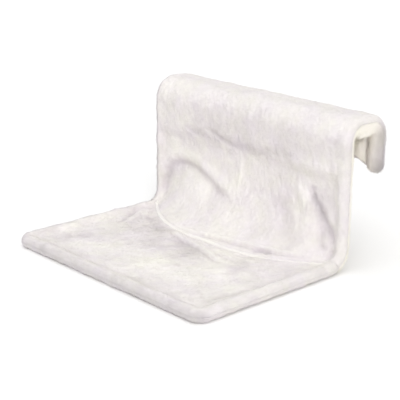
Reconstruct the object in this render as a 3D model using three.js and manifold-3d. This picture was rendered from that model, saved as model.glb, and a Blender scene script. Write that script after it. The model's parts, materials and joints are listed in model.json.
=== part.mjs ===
// Radiator cat bed: a plush cover over a bolted steel tube frame that hooks over a radiator.
// X runs across the bed, Y to the rear, Z up. The origin is under the middle of its box, on the floor.
import * as THREE from "three";
import { mergeVertices } from "three/addons/utils/BufferGeometryUtils.js";
import Module from "manifold-3d";

const wasm = await Module();
wasm.setup();

// Overall sizes, millimetres
const BED_WIDTH = 460;
const SEAT_DEPTH = 332; // front roll to the rear face of the back
const BED_HEIGHT = 250;
const HOOK_DEPTH = 78; // upright to rear leg, centre to centre
const HOOK_DROP = 78; // top tube's centre line down to the middle of a tip

// Tube frame
const TUBE_R = 6;
const TUBE_WALL = 1;
const CROSS_TUBE_R = 5;
const FRONT_BEND_R = 18;
const HEEL_BEND_R = 32;
const HOOK_BEND_R = 27;
const SEAT_JOINT_RUN = 48; // straight length of the heel tube in front of its bend
const UPRIGHT_JOINT_RUN = 18; // straight length of the heel tube above its bend
const SPIGOT_LENGTH = 28;
const SWAGE_TAPER = 1.5;
const BACK_TUBE_OFFSET = 34; // back cross tube below the start of the hook's bend
const TOP_TUBE_OFFSET = 12; // top cross tube behind the end of the hook's bend
const CAP_HEAD = 2.4;
const CAP_PLUG = 10;
const INSERT_LENGTH = 14;

// Screws
const SCREW_R = 2;
const SCREW_HEAD_R = 3.2;
const SCREW_HEAD_H = 1.8;
const RECESS_WIDTH = 0.8;
const RECESS_LENGTH = 3.4;
const RECESS_DEPTH = 1;
const JOINT_SCREW_REACH = 4; // how far a joint screw enters from the tube's skin

// Cover
const PLUSH = 4.5; // pile and backing
const WADDING = 4;
const SOLE_PRESS = 0.5; // how much the rolls are pressed flat under the bed
const ROLL_BLEND = 7; // from the tube sleeve to the flat panel
const MID_HEEL_R = 116; // the cloth's own bend at the heel, half way across
const RECESS_RUN = 12; // the front panel falls back this far below its cross tube
const SEAT_CROWN = 2.5;
const SEAM_ANGLE = Math.PI / 8; // how far up the heel's bend the seam lies, at the tube sleeves
const MID_SEAM_ANGLE = 0.2; // and half way across
const PIPING_R = 2.2;
const HEM_DROP = 4.5; // hem below the middle of the tips

const FOLD_RISE = 7; // the tallest fold of the front panel
const FOLD_WIDTH = 21; // a fold's reach to each side

// Closing flap
const FLAP_INSET = 26; // from the side of the bed to the end of the flap
const STRIP_INSET = 54; // from the end of the flap to the end of its strips
const TAPE_INSET = 5; // from the end of the flap to the end of its seam tape
const FLAP_HEIGHT = 44;
const FLAP_ROUNDING = 12;
const STRIP_HEIGHT = 13;
const STRIP_THICKNESS = 1.2;
const STRIP_FROM_TOP = 4;
const TAPE_HEIGHT = 8;

// Clearances
const FIT_GAP = 0.3; // between pieces that touch
const OVERRUN = 3; // cutters run past what they cut
const WELD = 1e-4; // points closer than this are one point

// Counts and shares
const TUBE_SIDES = 12;
const SCREW_SIDES = 10;
const PIPING_SIDES = 6;
const BEND_STEPS = 4;
const HEX_SHARE = Math.cos(Math.PI / 6);
const HALF_TURN_SHARE = 0.5;
const MID_COLUMN_SHARES = [-0.82, -0.58, -0.34, -0.1, 0.2, 0.45, 0.66, 0.84];
const SEAT_ROW_SHARES = [0.22, 0.44, 0.66, 0.85];
const UPRIGHT_ROW_SHARES = [0.35, 0.7];
const HEEL_FULLNESS = 3.2; // how square the cloth's bend is across the bed
const TIP_ROW_SHARE = 0.6;
const LEAST_PLUSH_SHARE = 1 / 3; // what a fold leaves of the plush at its thinnest

// Main folds of the front panel: each runs between two places, as shares of half the bed's width and of its
// height, and its rise and width are shares of FOLD_RISE and FOLD_WIDTH
const FOLD_SHARES = [
  { from: [-0.96, 0.2], to: [-0.72, 0.43], rise: -0.8, width: 0.95 },
  { from: [-0.72, 0.43], to: [-0.15, 0.21], rise: -0.8, width: 0.95 },
  { from: [-0.65, 0.25], to: [-0.48, 0.19], rise: 1, width: 1.5 },
  { from: [-0.48, 0.51], to: [-0.13, 0.38], rise: 0.7, width: 1.25 },
  { from: [0.4, 0.44], to: [0.5, 0.12], rise: -0.8, width: 1.05 },
  { from: [0.57, 0.47], to: [0.66, 0.19], rise: 1, width: 0.95 },
  { from: [0.65, 0.52], to: [0.9, 0.16], rise: -0.9, width: 0.75 },
];

// Derived sizes
const HALF_PI = Math.PI / 2;
const ROLL_R = TUBE_R + PLUSH;
const BORE_HALF = TUBE_R + FIT_GAP;
const BORE_R = BORE_HALF / HEX_SHARE; // a six sided sleeve round a tube
const CROSS_BORE = (CROSS_TUBE_R + FIT_GAP) * Math.SQRT2; // a four sided one, on its corner
const PANEL_HALF = WADDING / 2 + FIT_GAP + PLUSH;
const TOTAL_DEPTH = SEAT_DEPTH + HOOK_DEPTH;
const FRONT_Y = -TOTAL_DEPTH / 2;
const BACK_Y = FRONT_Y + SEAT_DEPTH - ROLL_R;
const SEAT_Z = ROLL_R - SOLE_PRESS;
const TOP_Z = BED_HEIGHT - ROLL_R;
const HALF_WIDTH = BED_WIDTH / 2;
const TUBE_X = HALF_WIDTH - ROLL_R;
const FLAP_WIDTH = BED_WIDTH - 2 * FLAP_INSET;
const STRIP_WIDTH = FLAP_WIDTH - 2 * STRIP_INSET;
const TAPE_WIDTH = FLAP_WIDTH - 2 * TAPE_INSET;
const CORNER_R = FRONT_BEND_R + ROLL_R;
const EDGE_OFFSETS = [
  0,
  ROLL_R * (1 - HEX_SHARE),
  ROLL_R - BORE_R,
  ROLL_R - BORE_R / 2,
  ROLL_R + BORE_R / 2,
  ROLL_R + BORE_R,
  ROLL_R + BORE_R + ROLL_BLEND,
];
const PANEL_EDGE = EDGE_OFFSETS[EDGE_OFFSETS.length - 1];
const SLEEVE_EDGE = ROLL_R + BORE_R;

const FINISHES = {
  steel: { color: 0xd9dadc, roughness: 0.45, metalness: 0.6 },
  zinc: { color: 0xb9bdc2, roughness: 0.35, metalness: 0.9 },
  plastic: { color: 0x2b2b2d, roughness: 0.6, metalness: 0 },
  plush: { color: 0xf1efeb, roughness: 0.95, metalness: 0 },
  lining: { color: 0xe9e6e0, roughness: 0.95, metalness: 0 },
  wadding: { color: 0xf6f6f4, roughness: 1, metalness: 0 },
  tape: { color: 0xe3e1dc, roughness: 0.85, metalness: 0 },
};

const bed = new THREE.Group();

function addPiece(name, geometry, finish, parent = bed) {
  const mesh = new THREE.Mesh(geometry, new THREE.MeshStandardMaterial(FINISHES[finish]));
  mesh.name = name;
  parent.add(mesh);
  return mesh;
}

// Solids from rings of points

function trianglesToGeometry(triangles) {
  const numbers = [];
  for (const [a, b, c] of triangles) {
    const area = b.clone().sub(a).cross(c.clone().sub(a)).length();
    if (area > WELD * WELD) {
      numbers.push(a.x, a.y, a.z, b.x, b.y, b.z, c.x, c.y, c.z);
    }
  }
  const geometry = new THREE.BufferGeometry();
  geometry.setAttribute("position", new THREE.Float32BufferAttribute(numbers, 3));
  geometry.computeVertexNormals();
  return geometry;
}

function quad(triangles, a, b, c, d) {
  triangles.push([a, b, c], [a, c, d]);
}

// A body between two sheets of points with the same rows and columns; edges where they meet need no wall
function sheetSolid(upper, lower) {
  const triangles = [];
  const rows = upper.length;
  const columns = upper[0].length;
  for (let i = 0; i + 1 < rows; i += 1) {
    for (let j = 0; j + 1 < columns; j += 1) {
      quad(triangles, upper[i][j], upper[i][j + 1], upper[i + 1][j + 1], upper[i + 1][j]);
      quad(triangles, lower[i][j], lower[i + 1][j], lower[i + 1][j + 1], lower[i][j + 1]);
    }
  }
  for (let j = 0; j + 1 < columns; j += 1) {
    const last = rows - 1;
    quad(triangles, lower[0][j], lower[0][j + 1], upper[0][j + 1], upper[0][j]);
    quad(triangles, upper[last][j], upper[last][j + 1], lower[last][j + 1], lower[last][j]);
  }
  for (let i = 0; i + 1 < rows; i += 1) {
    const last = columns - 1;
    quad(triangles, upper[i][0], upper[i + 1][0], lower[i + 1][0], lower[i][0]);
    quad(triangles, lower[i][last], lower[i + 1][last], upper[i + 1][last], upper[i][last]);
  }
  return trianglesToGeometry(triangles);
}

// A bent bar or tube: each ring has a centre, two directions across it, an outer and an inner radius
function sweptSolid(rings, sides) {
  const circle = (ring, radius) => {
    const points = [];
    for (let k = 0; k < sides; k += 1) {
      const turn = (2 * Math.PI * k) / sides;
      points.push(
        ring.centre
          .clone()
          .addScaledVector(ring.across, radius * Math.cos(turn))
          .addScaledVector(ring.up, radius * Math.sin(turn)),
      );
    }
    return points;
  };
  const triangles = [];
  const skin = rings.map((ring) => circle(ring, ring.outer));
  const bore = rings.map((ring) => circle(ring, ring.inner));
  const last = rings.length - 1;
  for (let k = 0; k < sides; k += 1) {
    const next = (k + 1) % sides;
    for (let i = 0; i < last; i += 1) {
      quad(triangles, skin[i][k], skin[i][next], skin[i + 1][next], skin[i + 1][k]);
      quad(triangles, bore[i + 1][k], bore[i + 1][next], bore[i][next], bore[i][k]);
    }
    quad(triangles, bore[0][k], bore[0][next], skin[0][next], skin[0][k]);
    quad(triangles, skin[last][k], skin[last][next], bore[last][next], bore[last][k]);
  }
  return trianglesToGeometry(triangles);
}

// Booleans

function toManifold(geometry) {
  const bare = geometry.clone();
  bare.deleteAttribute("normal");
  bare.deleteAttribute("uv");
  const merged = mergeVertices(bare, WELD);
  return new wasm.Manifold(
    new wasm.Mesh({
      numProp: 3,
      vertProperties: new Float32Array(merged.attributes.position.array),
      triVerts: new Uint32Array(merged.index.array),
    }),
  );
}

function toGeometry(manifold) {
  const mesh = manifold.getMesh();
  const geometry = new THREE.BufferGeometry();
  geometry.setAttribute("position", new THREE.Float32BufferAttribute(mesh.vertProperties, 3));
  geometry.setIndex(new THREE.Uint32BufferAttribute(mesh.triVerts, 1));
  geometry.computeVertexNormals();
  return geometry;
}

function cutAll(geometry, cutters) {
  let body = toManifold(geometry);
  for (const cutter of cutters) {
    body = body.subtract(toManifold(cutter));
  }
  return toGeometry(body);
}

// A cylinder that starts at a point and runs along a direction
function rod(radius, length, start, direction, sides = SCREW_SIDES) {
  const geometry = new THREE.CylinderGeometry(radius, radius, length, sides);
  geometry.translate(0, length / 2, 0);
  const turn = new THREE.Quaternion().setFromUnitVectors(new THREE.Vector3(0, 1, 0), direction);
  geometry.applyQuaternion(turn);
  geometry.translate(start.x, start.y, start.z);
  return geometry;
}

const ALONG_X = new THREE.Vector3(1, 0, 0);
const ALONG_Y = new THREE.Vector3(0, 1, 0);
const ALONG_Z = new THREE.Vector3(0, 0, 1);

// The side profile: seat, heel, upright, hook and rear leg, walked from the front edge

function profileLegs(heelR) {
  return [
    { length: BACK_Y - FRONT_Y - heelR },
    { length: heelR * HALF_PI, radius: heelR, turn: 1 },
    { length: TOP_Z - HOOK_BEND_R - SEAT_Z - heelR },
    { length: HOOK_BEND_R * HALF_PI, radius: HOOK_BEND_R, turn: -1 },
    { length: HOOK_DEPTH - 2 * HOOK_BEND_R },
    { length: HOOK_BEND_R * HALF_PI, radius: HOOK_BEND_R, turn: -1 },
    { length: HOOK_DROP - HOOK_BEND_R + ROLL_R },
  ];
}

function legStart(heelR, index) {
  return profileLegs(heelR)
    .slice(0, index)
    .reduce((sum, leg) => sum + leg.length, 0);
}

function walk(heelR, distance) {
  let y = FRONT_Y;
  let z = SEAT_Z;
  let heading = 0;
  let left = distance;
  for (const leg of profileLegs(heelR)) {
    const part = Math.min(left, leg.length);
    if (leg.radius) {
      const next = heading + (leg.turn * part) / leg.radius;
      y += leg.turn * leg.radius * (Math.sin(next) - Math.sin(heading));
      z += leg.turn * leg.radius * (Math.cos(heading) - Math.cos(next));
      heading = next;
    } else {
      y += part * Math.cos(heading);
      z += part * Math.sin(heading);
    }
    left -= part;
    if (left <= 0) {
      break;
    }
  }
  return { y, z, ny: -Math.sin(heading), nz: Math.cos(heading) };
}

function bendStations(heelR, index) {
  const start = legStart(heelR, index);
  const length = legStart(heelR, index + 1) - start;
  return Array.from({ length: BEND_STEPS + 1 }, (_, k) => start + (length * k) / BEND_STEPS);
}

// Frame tubes

const SEAT_JOINT = legStart(HEEL_BEND_R, 1) - SEAT_JOINT_RUN;
const UPRIGHT_JOINT = legStart(HEEL_BEND_R, 2) + UPRIGHT_JOINT_RUN;
const TIP = legStart(HEEL_BEND_R, 6) + HOOK_DROP - HOOK_BEND_R;
const TUBE_END = TIP - CAP_HEAD - 2 * FIT_GAP;
const BORE = TUBE_R - TUBE_WALL;
const SPIGOT_R = BORE - FIT_GAP;
const SPIGOT_BORE = SPIGOT_R - TUBE_WALL;

function profileRing(distance, outer, inner) {
  const spot = walk(HEEL_BEND_R, distance);
  return {
    centre: new THREE.Vector3(0, spot.y, spot.z),
    across: new THREE.Vector3(0, spot.ny, spot.nz),
    up: new THREE.Vector3(1, 0, 0),
    outer,
    inner,
  };
}

// A point on the tube's centre line, pushed out square to it in the profile's plane
function profilePoint(distance, offset = 0) {
  const spot = walk(HEEL_BEND_R, distance);
  return new THREE.Vector3(0, spot.y + spot.ny * offset, spot.z + spot.nz * offset);
}

function jointHole(distance, direction) {
  const start = profilePoint(distance).addScaledVector(direction, SPIGOT_BORE / 2);
  return rod(SCREW_R + FIT_GAP, TUBE_R + OVERRUN, start, direction);
}

function crossHole(distance) {
  const start = profilePoint(distance).setX(-TUBE_R - OVERRUN);
  return rod(SCREW_R + FIT_GAP, 2 * (TUBE_R + OVERRUN), start, ALONG_X);
}

const DOWN = ALONG_Z.clone().negate();
const SEAT_SCREW = SEAT_JOINT - SPIGOT_LENGTH / 2;
const UPRIGHT_SCREW = UPRIGHT_JOINT + SPIGOT_LENGTH / 2;
const BACK_CROSS = legStart(HEEL_BEND_R, 3) - BACK_TUBE_OFFSET;
const TOP_CROSS = legStart(HEEL_BEND_R, 4) + TOP_TUBE_OFFSET;

function seatFrontTube() {
  const rings = [];
  const addRing = (x, y, tangent) => {
    const up = new THREE.Vector3(0, 0, 1);
    rings.push({
      centre: new THREE.Vector3(x, y, SEAT_Z),
      across: new THREE.Vector3().crossVectors(up, tangent),
      up,
      outer: TUBE_R,
      inner: BORE,
    });
  };
  const jointY = walk(HEEL_BEND_R, SEAT_JOINT).y;
  const cornerX = TUBE_X - FRONT_BEND_R;
  const cornerY = FRONT_Y + ROLL_R + FRONT_BEND_R;
  addRing(TUBE_X, jointY, new THREE.Vector3(0, -1, 0));
  for (const side of [1, -1]) {
    for (let k = 0; k <= BEND_STEPS; k += 1) {
      const share = k / BEND_STEPS;
      const turn = HALF_PI * (side > 0 ? share : 1 - share);
      const x = side * (cornerX + FRONT_BEND_R * Math.cos(turn));
      const y = cornerY - FRONT_BEND_R * Math.sin(turn);
      addRing(x, y, new THREE.Vector3(-Math.sin(turn), -side * Math.cos(turn), 0));
    }
  }
  addRing(-TUBE_X, jointY, new THREE.Vector3(0, 1, 0));
  const cutters = [1, -1].map((side) => jointHole(SEAT_SCREW, DOWN).translate(side * TUBE_X, 0, 0));
  return cutAll(sweptSolid(rings, TUBE_SIDES), cutters);
}

function heelTube() {
  const shoulder = FIT_GAP + SWAGE_TAPER;
  const rings = [
    profileRing(SEAT_JOINT - SPIGOT_LENGTH, SPIGOT_R, SPIGOT_BORE),
    profileRing(SEAT_JOINT + FIT_GAP, SPIGOT_R, SPIGOT_BORE),
    profileRing(SEAT_JOINT + shoulder, TUBE_R, SPIGOT_BORE),
    ...bendStations(HEEL_BEND_R, 1).map((at) => profileRing(at, TUBE_R, SPIGOT_BORE)),
    profileRing(UPRIGHT_JOINT - shoulder, TUBE_R, SPIGOT_BORE),
    profileRing(UPRIGHT_JOINT - FIT_GAP, SPIGOT_R, SPIGOT_BORE),
    profileRing(UPRIGHT_JOINT + SPIGOT_LENGTH, SPIGOT_R, SPIGOT_BORE),
  ];
  return cutAll(sweptSolid(rings, TUBE_SIDES), [
    jointHole(SEAT_SCREW, DOWN),
    jointHole(UPRIGHT_SCREW, ALONG_Y),
  ]);
}

function hookTube() {
  const stations = [
    UPRIGHT_JOINT,
    ...bendStations(HEEL_BEND_R, 3),
    ...bendStations(HEEL_BEND_R, 5),
    TUBE_END,
  ];
  const rings = stations.map((at) => profileRing(at, TUBE_R, BORE));
  return cutAll(sweptSolid(rings, TUBE_SIDES), [
    jointHole(UPRIGHT_SCREW, ALONG_Y),
    crossHole(BACK_CROSS),
    crossHole(TOP_CROSS),
  ]);
}

// A straight tube along X, centred
function crossTube() {
  const end = TUBE_X - TUBE_R - FIT_GAP;
  const rings = [-end, end].map((x) => ({
    centre: new THREE.Vector3(x, 0, 0),
    across: ALONG_Y.clone(),
    up: ALONG_Z.clone(),
    outer: CROSS_TUBE_R,
    inner: CROSS_TUBE_R - TUBE_WALL,
  }));
  return sweptSolid(rings, TUBE_SIDES);
}

function threadedInsert() {
  const rings = [0, INSERT_LENGTH].map((x) => ({
    centre: new THREE.Vector3(x, 0, 0),
    across: ALONG_Y.clone(),
    up: ALONG_Z.clone(),
    outer: CROSS_TUBE_R - TUBE_WALL - FIT_GAP,
    inner: SCREW_R + FIT_GAP,
  }));
  return sweptSolid(rings, TUBE_SIDES);
}

// A pan head screw along its own Z: the head starts at zero and the shank runs down
function screw(shankLength) {
  const head = toManifold(rod(SCREW_HEAD_R, SCREW_HEAD_H, new THREE.Vector3(), ALONG_Z));
  const shank = rod(SCREW_R, shankLength + SCREW_HEAD_H / 2, new THREE.Vector3(0, 0, -shankLength), ALONG_Z);
  const slot = new THREE.BoxGeometry(RECESS_LENGTH, RECESS_WIDTH, 2 * RECESS_DEPTH);
  slot.translate(0, 0, SCREW_HEAD_H);
  const crossSlot = slot.clone().rotateZ(HALF_PI);
  return cutAll(toGeometry(head.add(toManifold(shank))), [slot, crossSlot]);
}

// A tip cap along its own Z: the head starts at zero and runs down, and the plug runs up into the tube
function tipCap() {
  const head = toManifold(rod(TUBE_R, CAP_HEAD, new THREE.Vector3(), DOWN, TUBE_SIDES));
  const plugRoot = new THREE.Vector3(0, 0, -CAP_HEAD / 2);
  const plug = rod(BORE - FIT_GAP, CAP_PLUG + CAP_HEAD / 2, plugRoot, ALONG_Z, TUBE_SIDES);
  return toGeometry(head.add(toManifold(plug)));
}

function addFrame() {
  addPiece("seat_front_tube", seatFrontTube(), "steel");
  const crossTubes = [
    { name: "back_cross", at: BACK_CROSS },
    { name: "top_cross", at: TOP_CROSS },
  ];
  for (const { name, at } of crossTubes) {
    addPiece(`${name}_tube`, crossTube(), "steel").position.copy(profilePoint(at));
  }
  for (const [label, side] of [["left", -1], ["right", 1]]) {
    addPiece(`${label}_heel_tube`, heelTube(), "steel").position.x = side * TUBE_X;
    addPiece(`${label}_hook_tube`, hookTube(), "steel").position.x = side * TUBE_X;
    const cap = addPiece(`${label}_tip_cap`, tipCap(), "plastic");
    cap.position.copy(profilePoint(TUBE_END + FIT_GAP)).setX(side * TUBE_X);
    addJointScrews(label, side);
    for (const { name, at } of crossTubes) {
      addCrossBolt(`${label}_${name}`, side, at);
    }
  }
}

function addJointScrews(label, side) {
  const reach = JOINT_SCREW_REACH + FIT_GAP;
  const seatScrew = addPiece(`${label}_seat_joint_screw`, screw(reach), "zinc");
  seatScrew.position.copy(profilePoint(SEAT_SCREW, -TUBE_R - FIT_GAP)).setX(side * TUBE_X);
  seatScrew.rotation.x = Math.PI;
  const uprightScrew = addPiece(`${label}_upright_joint_screw`, screw(reach), "zinc");
  uprightScrew.position.copy(profilePoint(UPRIGHT_SCREW, -TUBE_R - FIT_GAP)).setX(side * TUBE_X);
  uprightScrew.rotation.x = -HALF_PI;
}

function addCrossBolt(label, side, at) {
  const shank = 2 * (TUBE_R + FIT_GAP) + INSERT_LENGTH;
  const bolt = addPiece(`${label}_bolt`, screw(shank), "zinc");
  bolt.position.copy(profilePoint(at)).setX(side * (TUBE_X + TUBE_R + FIT_GAP));
  bolt.rotation.y = side * HALF_PI;
  const insert = addPiece(`${label}_insert`, threadedInsert(), "zinc");
  insert.position.copy(profilePoint(at)).setX(side * (TUBE_X - TUBE_R - FIT_GAP));
  insert.rotation.y = side > 0 ? Math.PI : 0;
}

// Cover: columns run across the bed, rows along the profile, and each shell is a pair of sheets

const COLUMNS = [
  ...EDGE_OFFSETS.map((edge) => ({ x: edge - HALF_WIDTH, edge })),
  ...MID_COLUMN_SHARES.map((share) => {
    const x = share * (HALF_WIDTH - PANEL_EDGE);
    return { x, edge: HALF_WIDTH - Math.abs(x) };
  }),
  ...EDGE_OFFSETS.toReversed().map((edge) => ({ x: HALF_WIDTH - edge, edge })),
];

// From 0 at the tube sleeves to 1 half way across
function middleness(column) {
  if (column.edge <= SLEEVE_EDGE) {
    return 0;
  }
  const reach = (HALF_WIDTH - column.edge) / (HALF_WIDTH - SLEEVE_EDGE);
  return 1 - reach ** HEEL_FULLNESS;
}

function heelRadius(column) {
  return HEEL_BEND_R + (MID_HEEL_R - HEEL_BEND_R) * middleness(column);
}

function seamAt(heelR) {
  const middle = (heelR - HEEL_BEND_R) / (MID_HEEL_R - HEEL_BEND_R);
  return legStart(heelR, 1) + heelR * (SEAM_ANGLE + (MID_SEAM_ANGLE - SEAM_ANGLE) * middle);
}

// Rows between two stations: each share holds at the sleeves, and even spacing half way across
function spreadRows(sideStations, from, to, extra) {
  const sideStart = from(HEEL_BEND_R);
  const sideLength = to(HEEL_BEND_R) - sideStart;
  return sideStations.map((station, k) => {
    const sideShare = (station - sideStart) / sideLength;
    const evenShare = (k + 1) / (sideStations.length + 1);
    return {
      at: (column) => {
        const heelR = heelRadius(column);
        const share = sideShare + (evenShare - sideShare) * middleness(column);
        return from(heelR) + share * (to(heelR) - from(heelR));
      },
      ...extra,
    };
  });
}

const fixedRow = (at, extra) => ({ at: (column) => at(heelRadius(column)), ...extra });

function seatRows() {
  const bendStart = legStart(HEEL_BEND_R, 1);
  const stations = SEAT_ROW_SHARES.map((share) => PANEL_EDGE + share * (bendStart - PANEL_EDGE));
  const flat = { zone: "seat", flush: [-1] };
  return [
    ...EDGE_OFFSETS.map((edge) => fixedRow(() => edge, { ...flat, front: edge, padded: edge === PANEL_EDGE })),
    ...spreadRows([...stations, bendStart], () => PANEL_EDGE, seamAt, { ...flat, padded: true }),
    fixedRow((heelR) => seamAt(heelR) - FIT_GAP / 2, flat),
  ];
}

function backRows() {
  const bend = bendStations(HEEL_BEND_R, 1);
  const bendEnd = bend[BEND_STEPS];
  const flat = { zone: "upright", flush: [-1] };
  const recess = (heelR) => legStart(heelR, 3) - BACK_TUBE_OFFSET - CROSS_BORE - RECESS_RUN;
  const uprights = UPRIGHT_ROW_SHARES.map((share) => bendEnd + share * (recess(HEEL_BEND_R) - bendEnd));
  const lower = spreadRows([...bend.slice(2), ...uprights], seamAt, recess, { ...flat, padded: true });
  const hookRow = (index, offset, extra) =>
    fixedRow((heelR) => legStart(heelR, index) + offset, { zone: "hook", flush: [1], lift: 1, ...extra });
  const crossRows = (index, offset, flush) =>
    [-1, 0, 1].map((side) => hookRow(index, offset + side * CROSS_BORE, { cross: side, lift: 0, flush }));
  const bendRows = (index) =>
    bendStations(HEEL_BEND_R, index).map((at) => hookRow(index, at - legStart(HEEL_BEND_R, index), {}));
  const topBend = bendRows(3);
  topBend[0].lift = 0;
  topBend[1].lift = HALF_TURN_SHARE;
  const legLength = HOOK_DROP - HOOK_BEND_R;
  return [
    fixedRow((heelR) => seamAt(heelR) + FIT_GAP / 2, { ...flat, seam: true }),
    ...lower,
    fixedRow(recess, { ...flat, padded: true }),
    ...crossRows(3, -BACK_TUBE_OFFSET, [-1, 1]),
    ...topBend,
    ...crossRows(4, TOP_TUBE_OFFSET, [1]),
    ...bendRows(5),
    hookRow(6, legLength / 2, {}),
    hookRow(6, legLength, {}),
    hookRow(6, legLength, { tip: TIP_ROW_SHARE }),
    hookRow(6, legLength, { tip: 1 }),
  ];
}

// How far the cover runs past the tips' middle in a column
function tipReach(column) {
  const across = Math.abs(ROLL_R - column.edge);
  return column.edge <= SLEEVE_EDGE ? Math.sqrt(Math.max(ROLL_R ** 2 - across ** 2, 0)) : HEM_DROP;
}

// Offsets from a square corner become offsets from a round one
function roundCorner(front, side) {
  const edge = Math.min(front, side);
  const far = Math.max(front, side);
  if (far >= CORNER_R || edge >= CORNER_R) {
    return [front, side];
  }
  const turn = (Math.PI / 4) * ((CORNER_R - far) / (CORNER_R - edge));
  const radius = CORNER_R - edge;
  const near = CORNER_R - radius * Math.cos(turn);
  const along = CORNER_R - radius * Math.sin(turn);
  return front < side ? [near, along] : [along, near];
}

function isPanel(row, column) {
  const edge = Math.min(column.edge, row.front ?? Infinity);
  return edge > SLEEVE_EDGE;
}

// How far the sheet's middle is moved off the profile along its normal
function middleLift(row, column) {
  if (!isPanel(row, column)) {
    return 0;
  }
  if (row.zone === "seat" || row.seam) {
    return PANEL_HALF - SEAT_Z;
  }
  return (ROLL_R - PANEL_HALF) * (row.zone === "upright" ? -1 : row.lift);
}

function middlePoint(row, column) {
  let distance = row.at(column);
  let x = column.x;
  if (row.front !== undefined) {
    const [front, side] = roundCorner(row.front, column.edge);
    distance = front;
    x = Math.sign(column.x) * (HALF_WIDTH - side);
  }
  distance += (row.tip ?? 0) * tipReach(column);
  const spot = walk(heelRadius(column), distance);
  const lift = middleLift(row, column);
  const middle = new THREE.Vector3(x, spot.y + spot.ny * lift, spot.z + spot.nz * lift);
  return { middle, normal: new THREE.Vector3(0, spot.ny, spot.nz), lift };
}

// Half the thickness over a tube sleeve's edge, and its blend into the panel
function rollHeight(edge) {
  const across = ROLL_R - edge;
  if (across >= 0) {
    return Math.sqrt(Math.max(ROLL_R ** 2 - across ** 2, 0));
  }
  const fade = Math.min(-across / (BORE_R + ROLL_BLEND), 1);
  return PANEL_HALF + ((ROLL_R - PANEL_HALF) * (1 + Math.cos(Math.PI * fade))) / 2;
}

function isPinched(row, column) {
  return column.edge === 0 || row.front === 0 || row.tip === 1;
}

// Height of the plush's outer face above the sheet's middle; side is 1 on the normal's side
function outerHeight(row, column, side, lift) {
  if (isPinched(row, column)) {
    return FIT_GAP / 2;
  }
  const edge = Math.min(column.edge, row.front ?? Infinity);
  let height = rollHeight(edge);
  if (row.flush.includes(side) && edge > ROLL_R) {
    const flat = row.zone === "seat" ? SEAT_Z : ROLL_R;
    height = flat - side * lift;
  } else if (row.cross !== undefined) {
    height = Math.max(height, row.cross === 0 ? ROLL_R : (ROLL_R + PANEL_HALF) / 2);
  }
  return height * Math.sqrt(1 - (row.tip ?? 0) ** 2);
}

// Height of the plush's inner face: round the tubes, round the wadding, or against the other shell
function innerHeight(row, column) {
  const touch = FIT_GAP / 2;
  if (isPinched(row, column) || row.tip !== undefined) {
    return touch;
  }
  const edge = Math.min(column.edge, row.front ?? Infinity);
  const besideTube = Math.abs(Math.abs(ROLL_R - edge) - BORE_R / 2) < WELD;
  const tube = besideTube ? BORE_HALF : touch;
  const crossTubeHeight = row.cross === 0 && column.edge > ROLL_R ? CROSS_BORE : touch;
  const pad = row.padded && isPanel(row, column) ? WADDING / 2 + FIT_GAP : touch;
  return Math.max(tube, crossTubeHeight, pad);
}

// Height that the main folds add to the front panel, at a place across the bed and above the floor
function foldHeight(x, z) {
  let share = 0;
  const here = new THREE.Vector2(x, z);
  for (const { from, to, rise, width } of FOLD_SHARES) {
    const start = new THREE.Vector2(from[0] * HALF_WIDTH, from[1] * BED_HEIGHT);
    const along = new THREE.Vector2(to[0] * HALF_WIDTH, to[1] * BED_HEIGHT).sub(start);
    const part = THREE.MathUtils.clamp(here.clone().sub(start).dot(along) / along.lengthSq(), 0, 1);
    const nearest = start.clone().addScaledVector(along, part);
    share += rise * Math.exp(-((here.distanceTo(nearest) / (width * FOLD_WIDTH)) ** 2));
  }
  return share * FOLD_RISE;
}

// What the top face adds to or takes from its plain height
function relief(row, column, middle) {
  if (!row.padded || !isPanel(row, column)) {
    return 0;
  }
  if (row.zone === "seat") {
    const across = Math.cos(HALF_PI * (middle.x / HALF_WIDTH));
    return SEAT_CROWN * across;
  }
  return row.zone === "upright" ? foldHeight(middle.x, middle.z) : 0;
}

function shell(rows, side) {
  const outer = [];
  const inner = [];
  for (const row of rows) {
    const outerLine = [];
    const innerLine = [];
    for (const column of COLUMNS) {
      const { middle, normal, lift } = middlePoint(row, column);
      const innerUp = innerHeight(row, column);
      let height = outerHeight(row, column, side, lift);
      if (side > 0 && !isPinched(row, column)) {
        height = Math.max(height + relief(row, column, middle), innerUp + PLUSH * LEAST_PLUSH_SHARE);
      }
      const outerPoint = middle.clone().addScaledVector(normal, side * height);
      outerPoint.z = Math.max(outerPoint.z, 0);
      outerLine.push(outerPoint);
      innerLine.push(middle.clone().addScaledVector(normal, side * innerUp));
    }
    outer.push(outerLine);
    inner.push(innerLine);
  }
  return side > 0 ? sheetSolid(outer, inner) : sheetSolid(inner, outer);
}

function wadding(rows) {
  const sheets = [1, -1].map((side) =>
    rows
      .filter((row) => row.padded)
      .map((row) =>
        COLUMNS.filter((column) => column.edge > SLEEVE_EDGE).map((column) => {
          const { middle, normal } = middlePoint(row, column);
          return middle.addScaledVector(normal, (side * WADDING) / 2);
        }),
      ),
  );
  return sheetSolid(sheets[0], sheets[1]);
}

// A cord of piping laid on the seam
function seamPiping(rows) {
  const seam = rows[0];
  const rings = COLUMNS.filter((column) => column.edge > SLEEVE_EDGE).map((column) => {
    const { middle, normal, lift } = middlePoint(seam, column);
    const height = outerHeight(seam, column, 1, lift) + FIT_GAP + PIPING_R;
    return {
      centre: middle.addScaledVector(normal, height),
      across: new THREE.Vector3(0, normal.z, -normal.y),
      up: normal,
      outer: PIPING_R,
      inner: 0,
    };
  });
  return sweptSolid(rings, PIPING_SIDES);
}

// Room in the plush for the screw heads
function headPocket(start, direction) {
  const length = SCREW_HEAD_H + 2 * FIT_GAP + TUBE_R / 2;
  return rod(SCREW_HEAD_R + FIT_GAP, length, start.addScaledVector(direction, TUBE_R / 2), direction);
}

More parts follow.
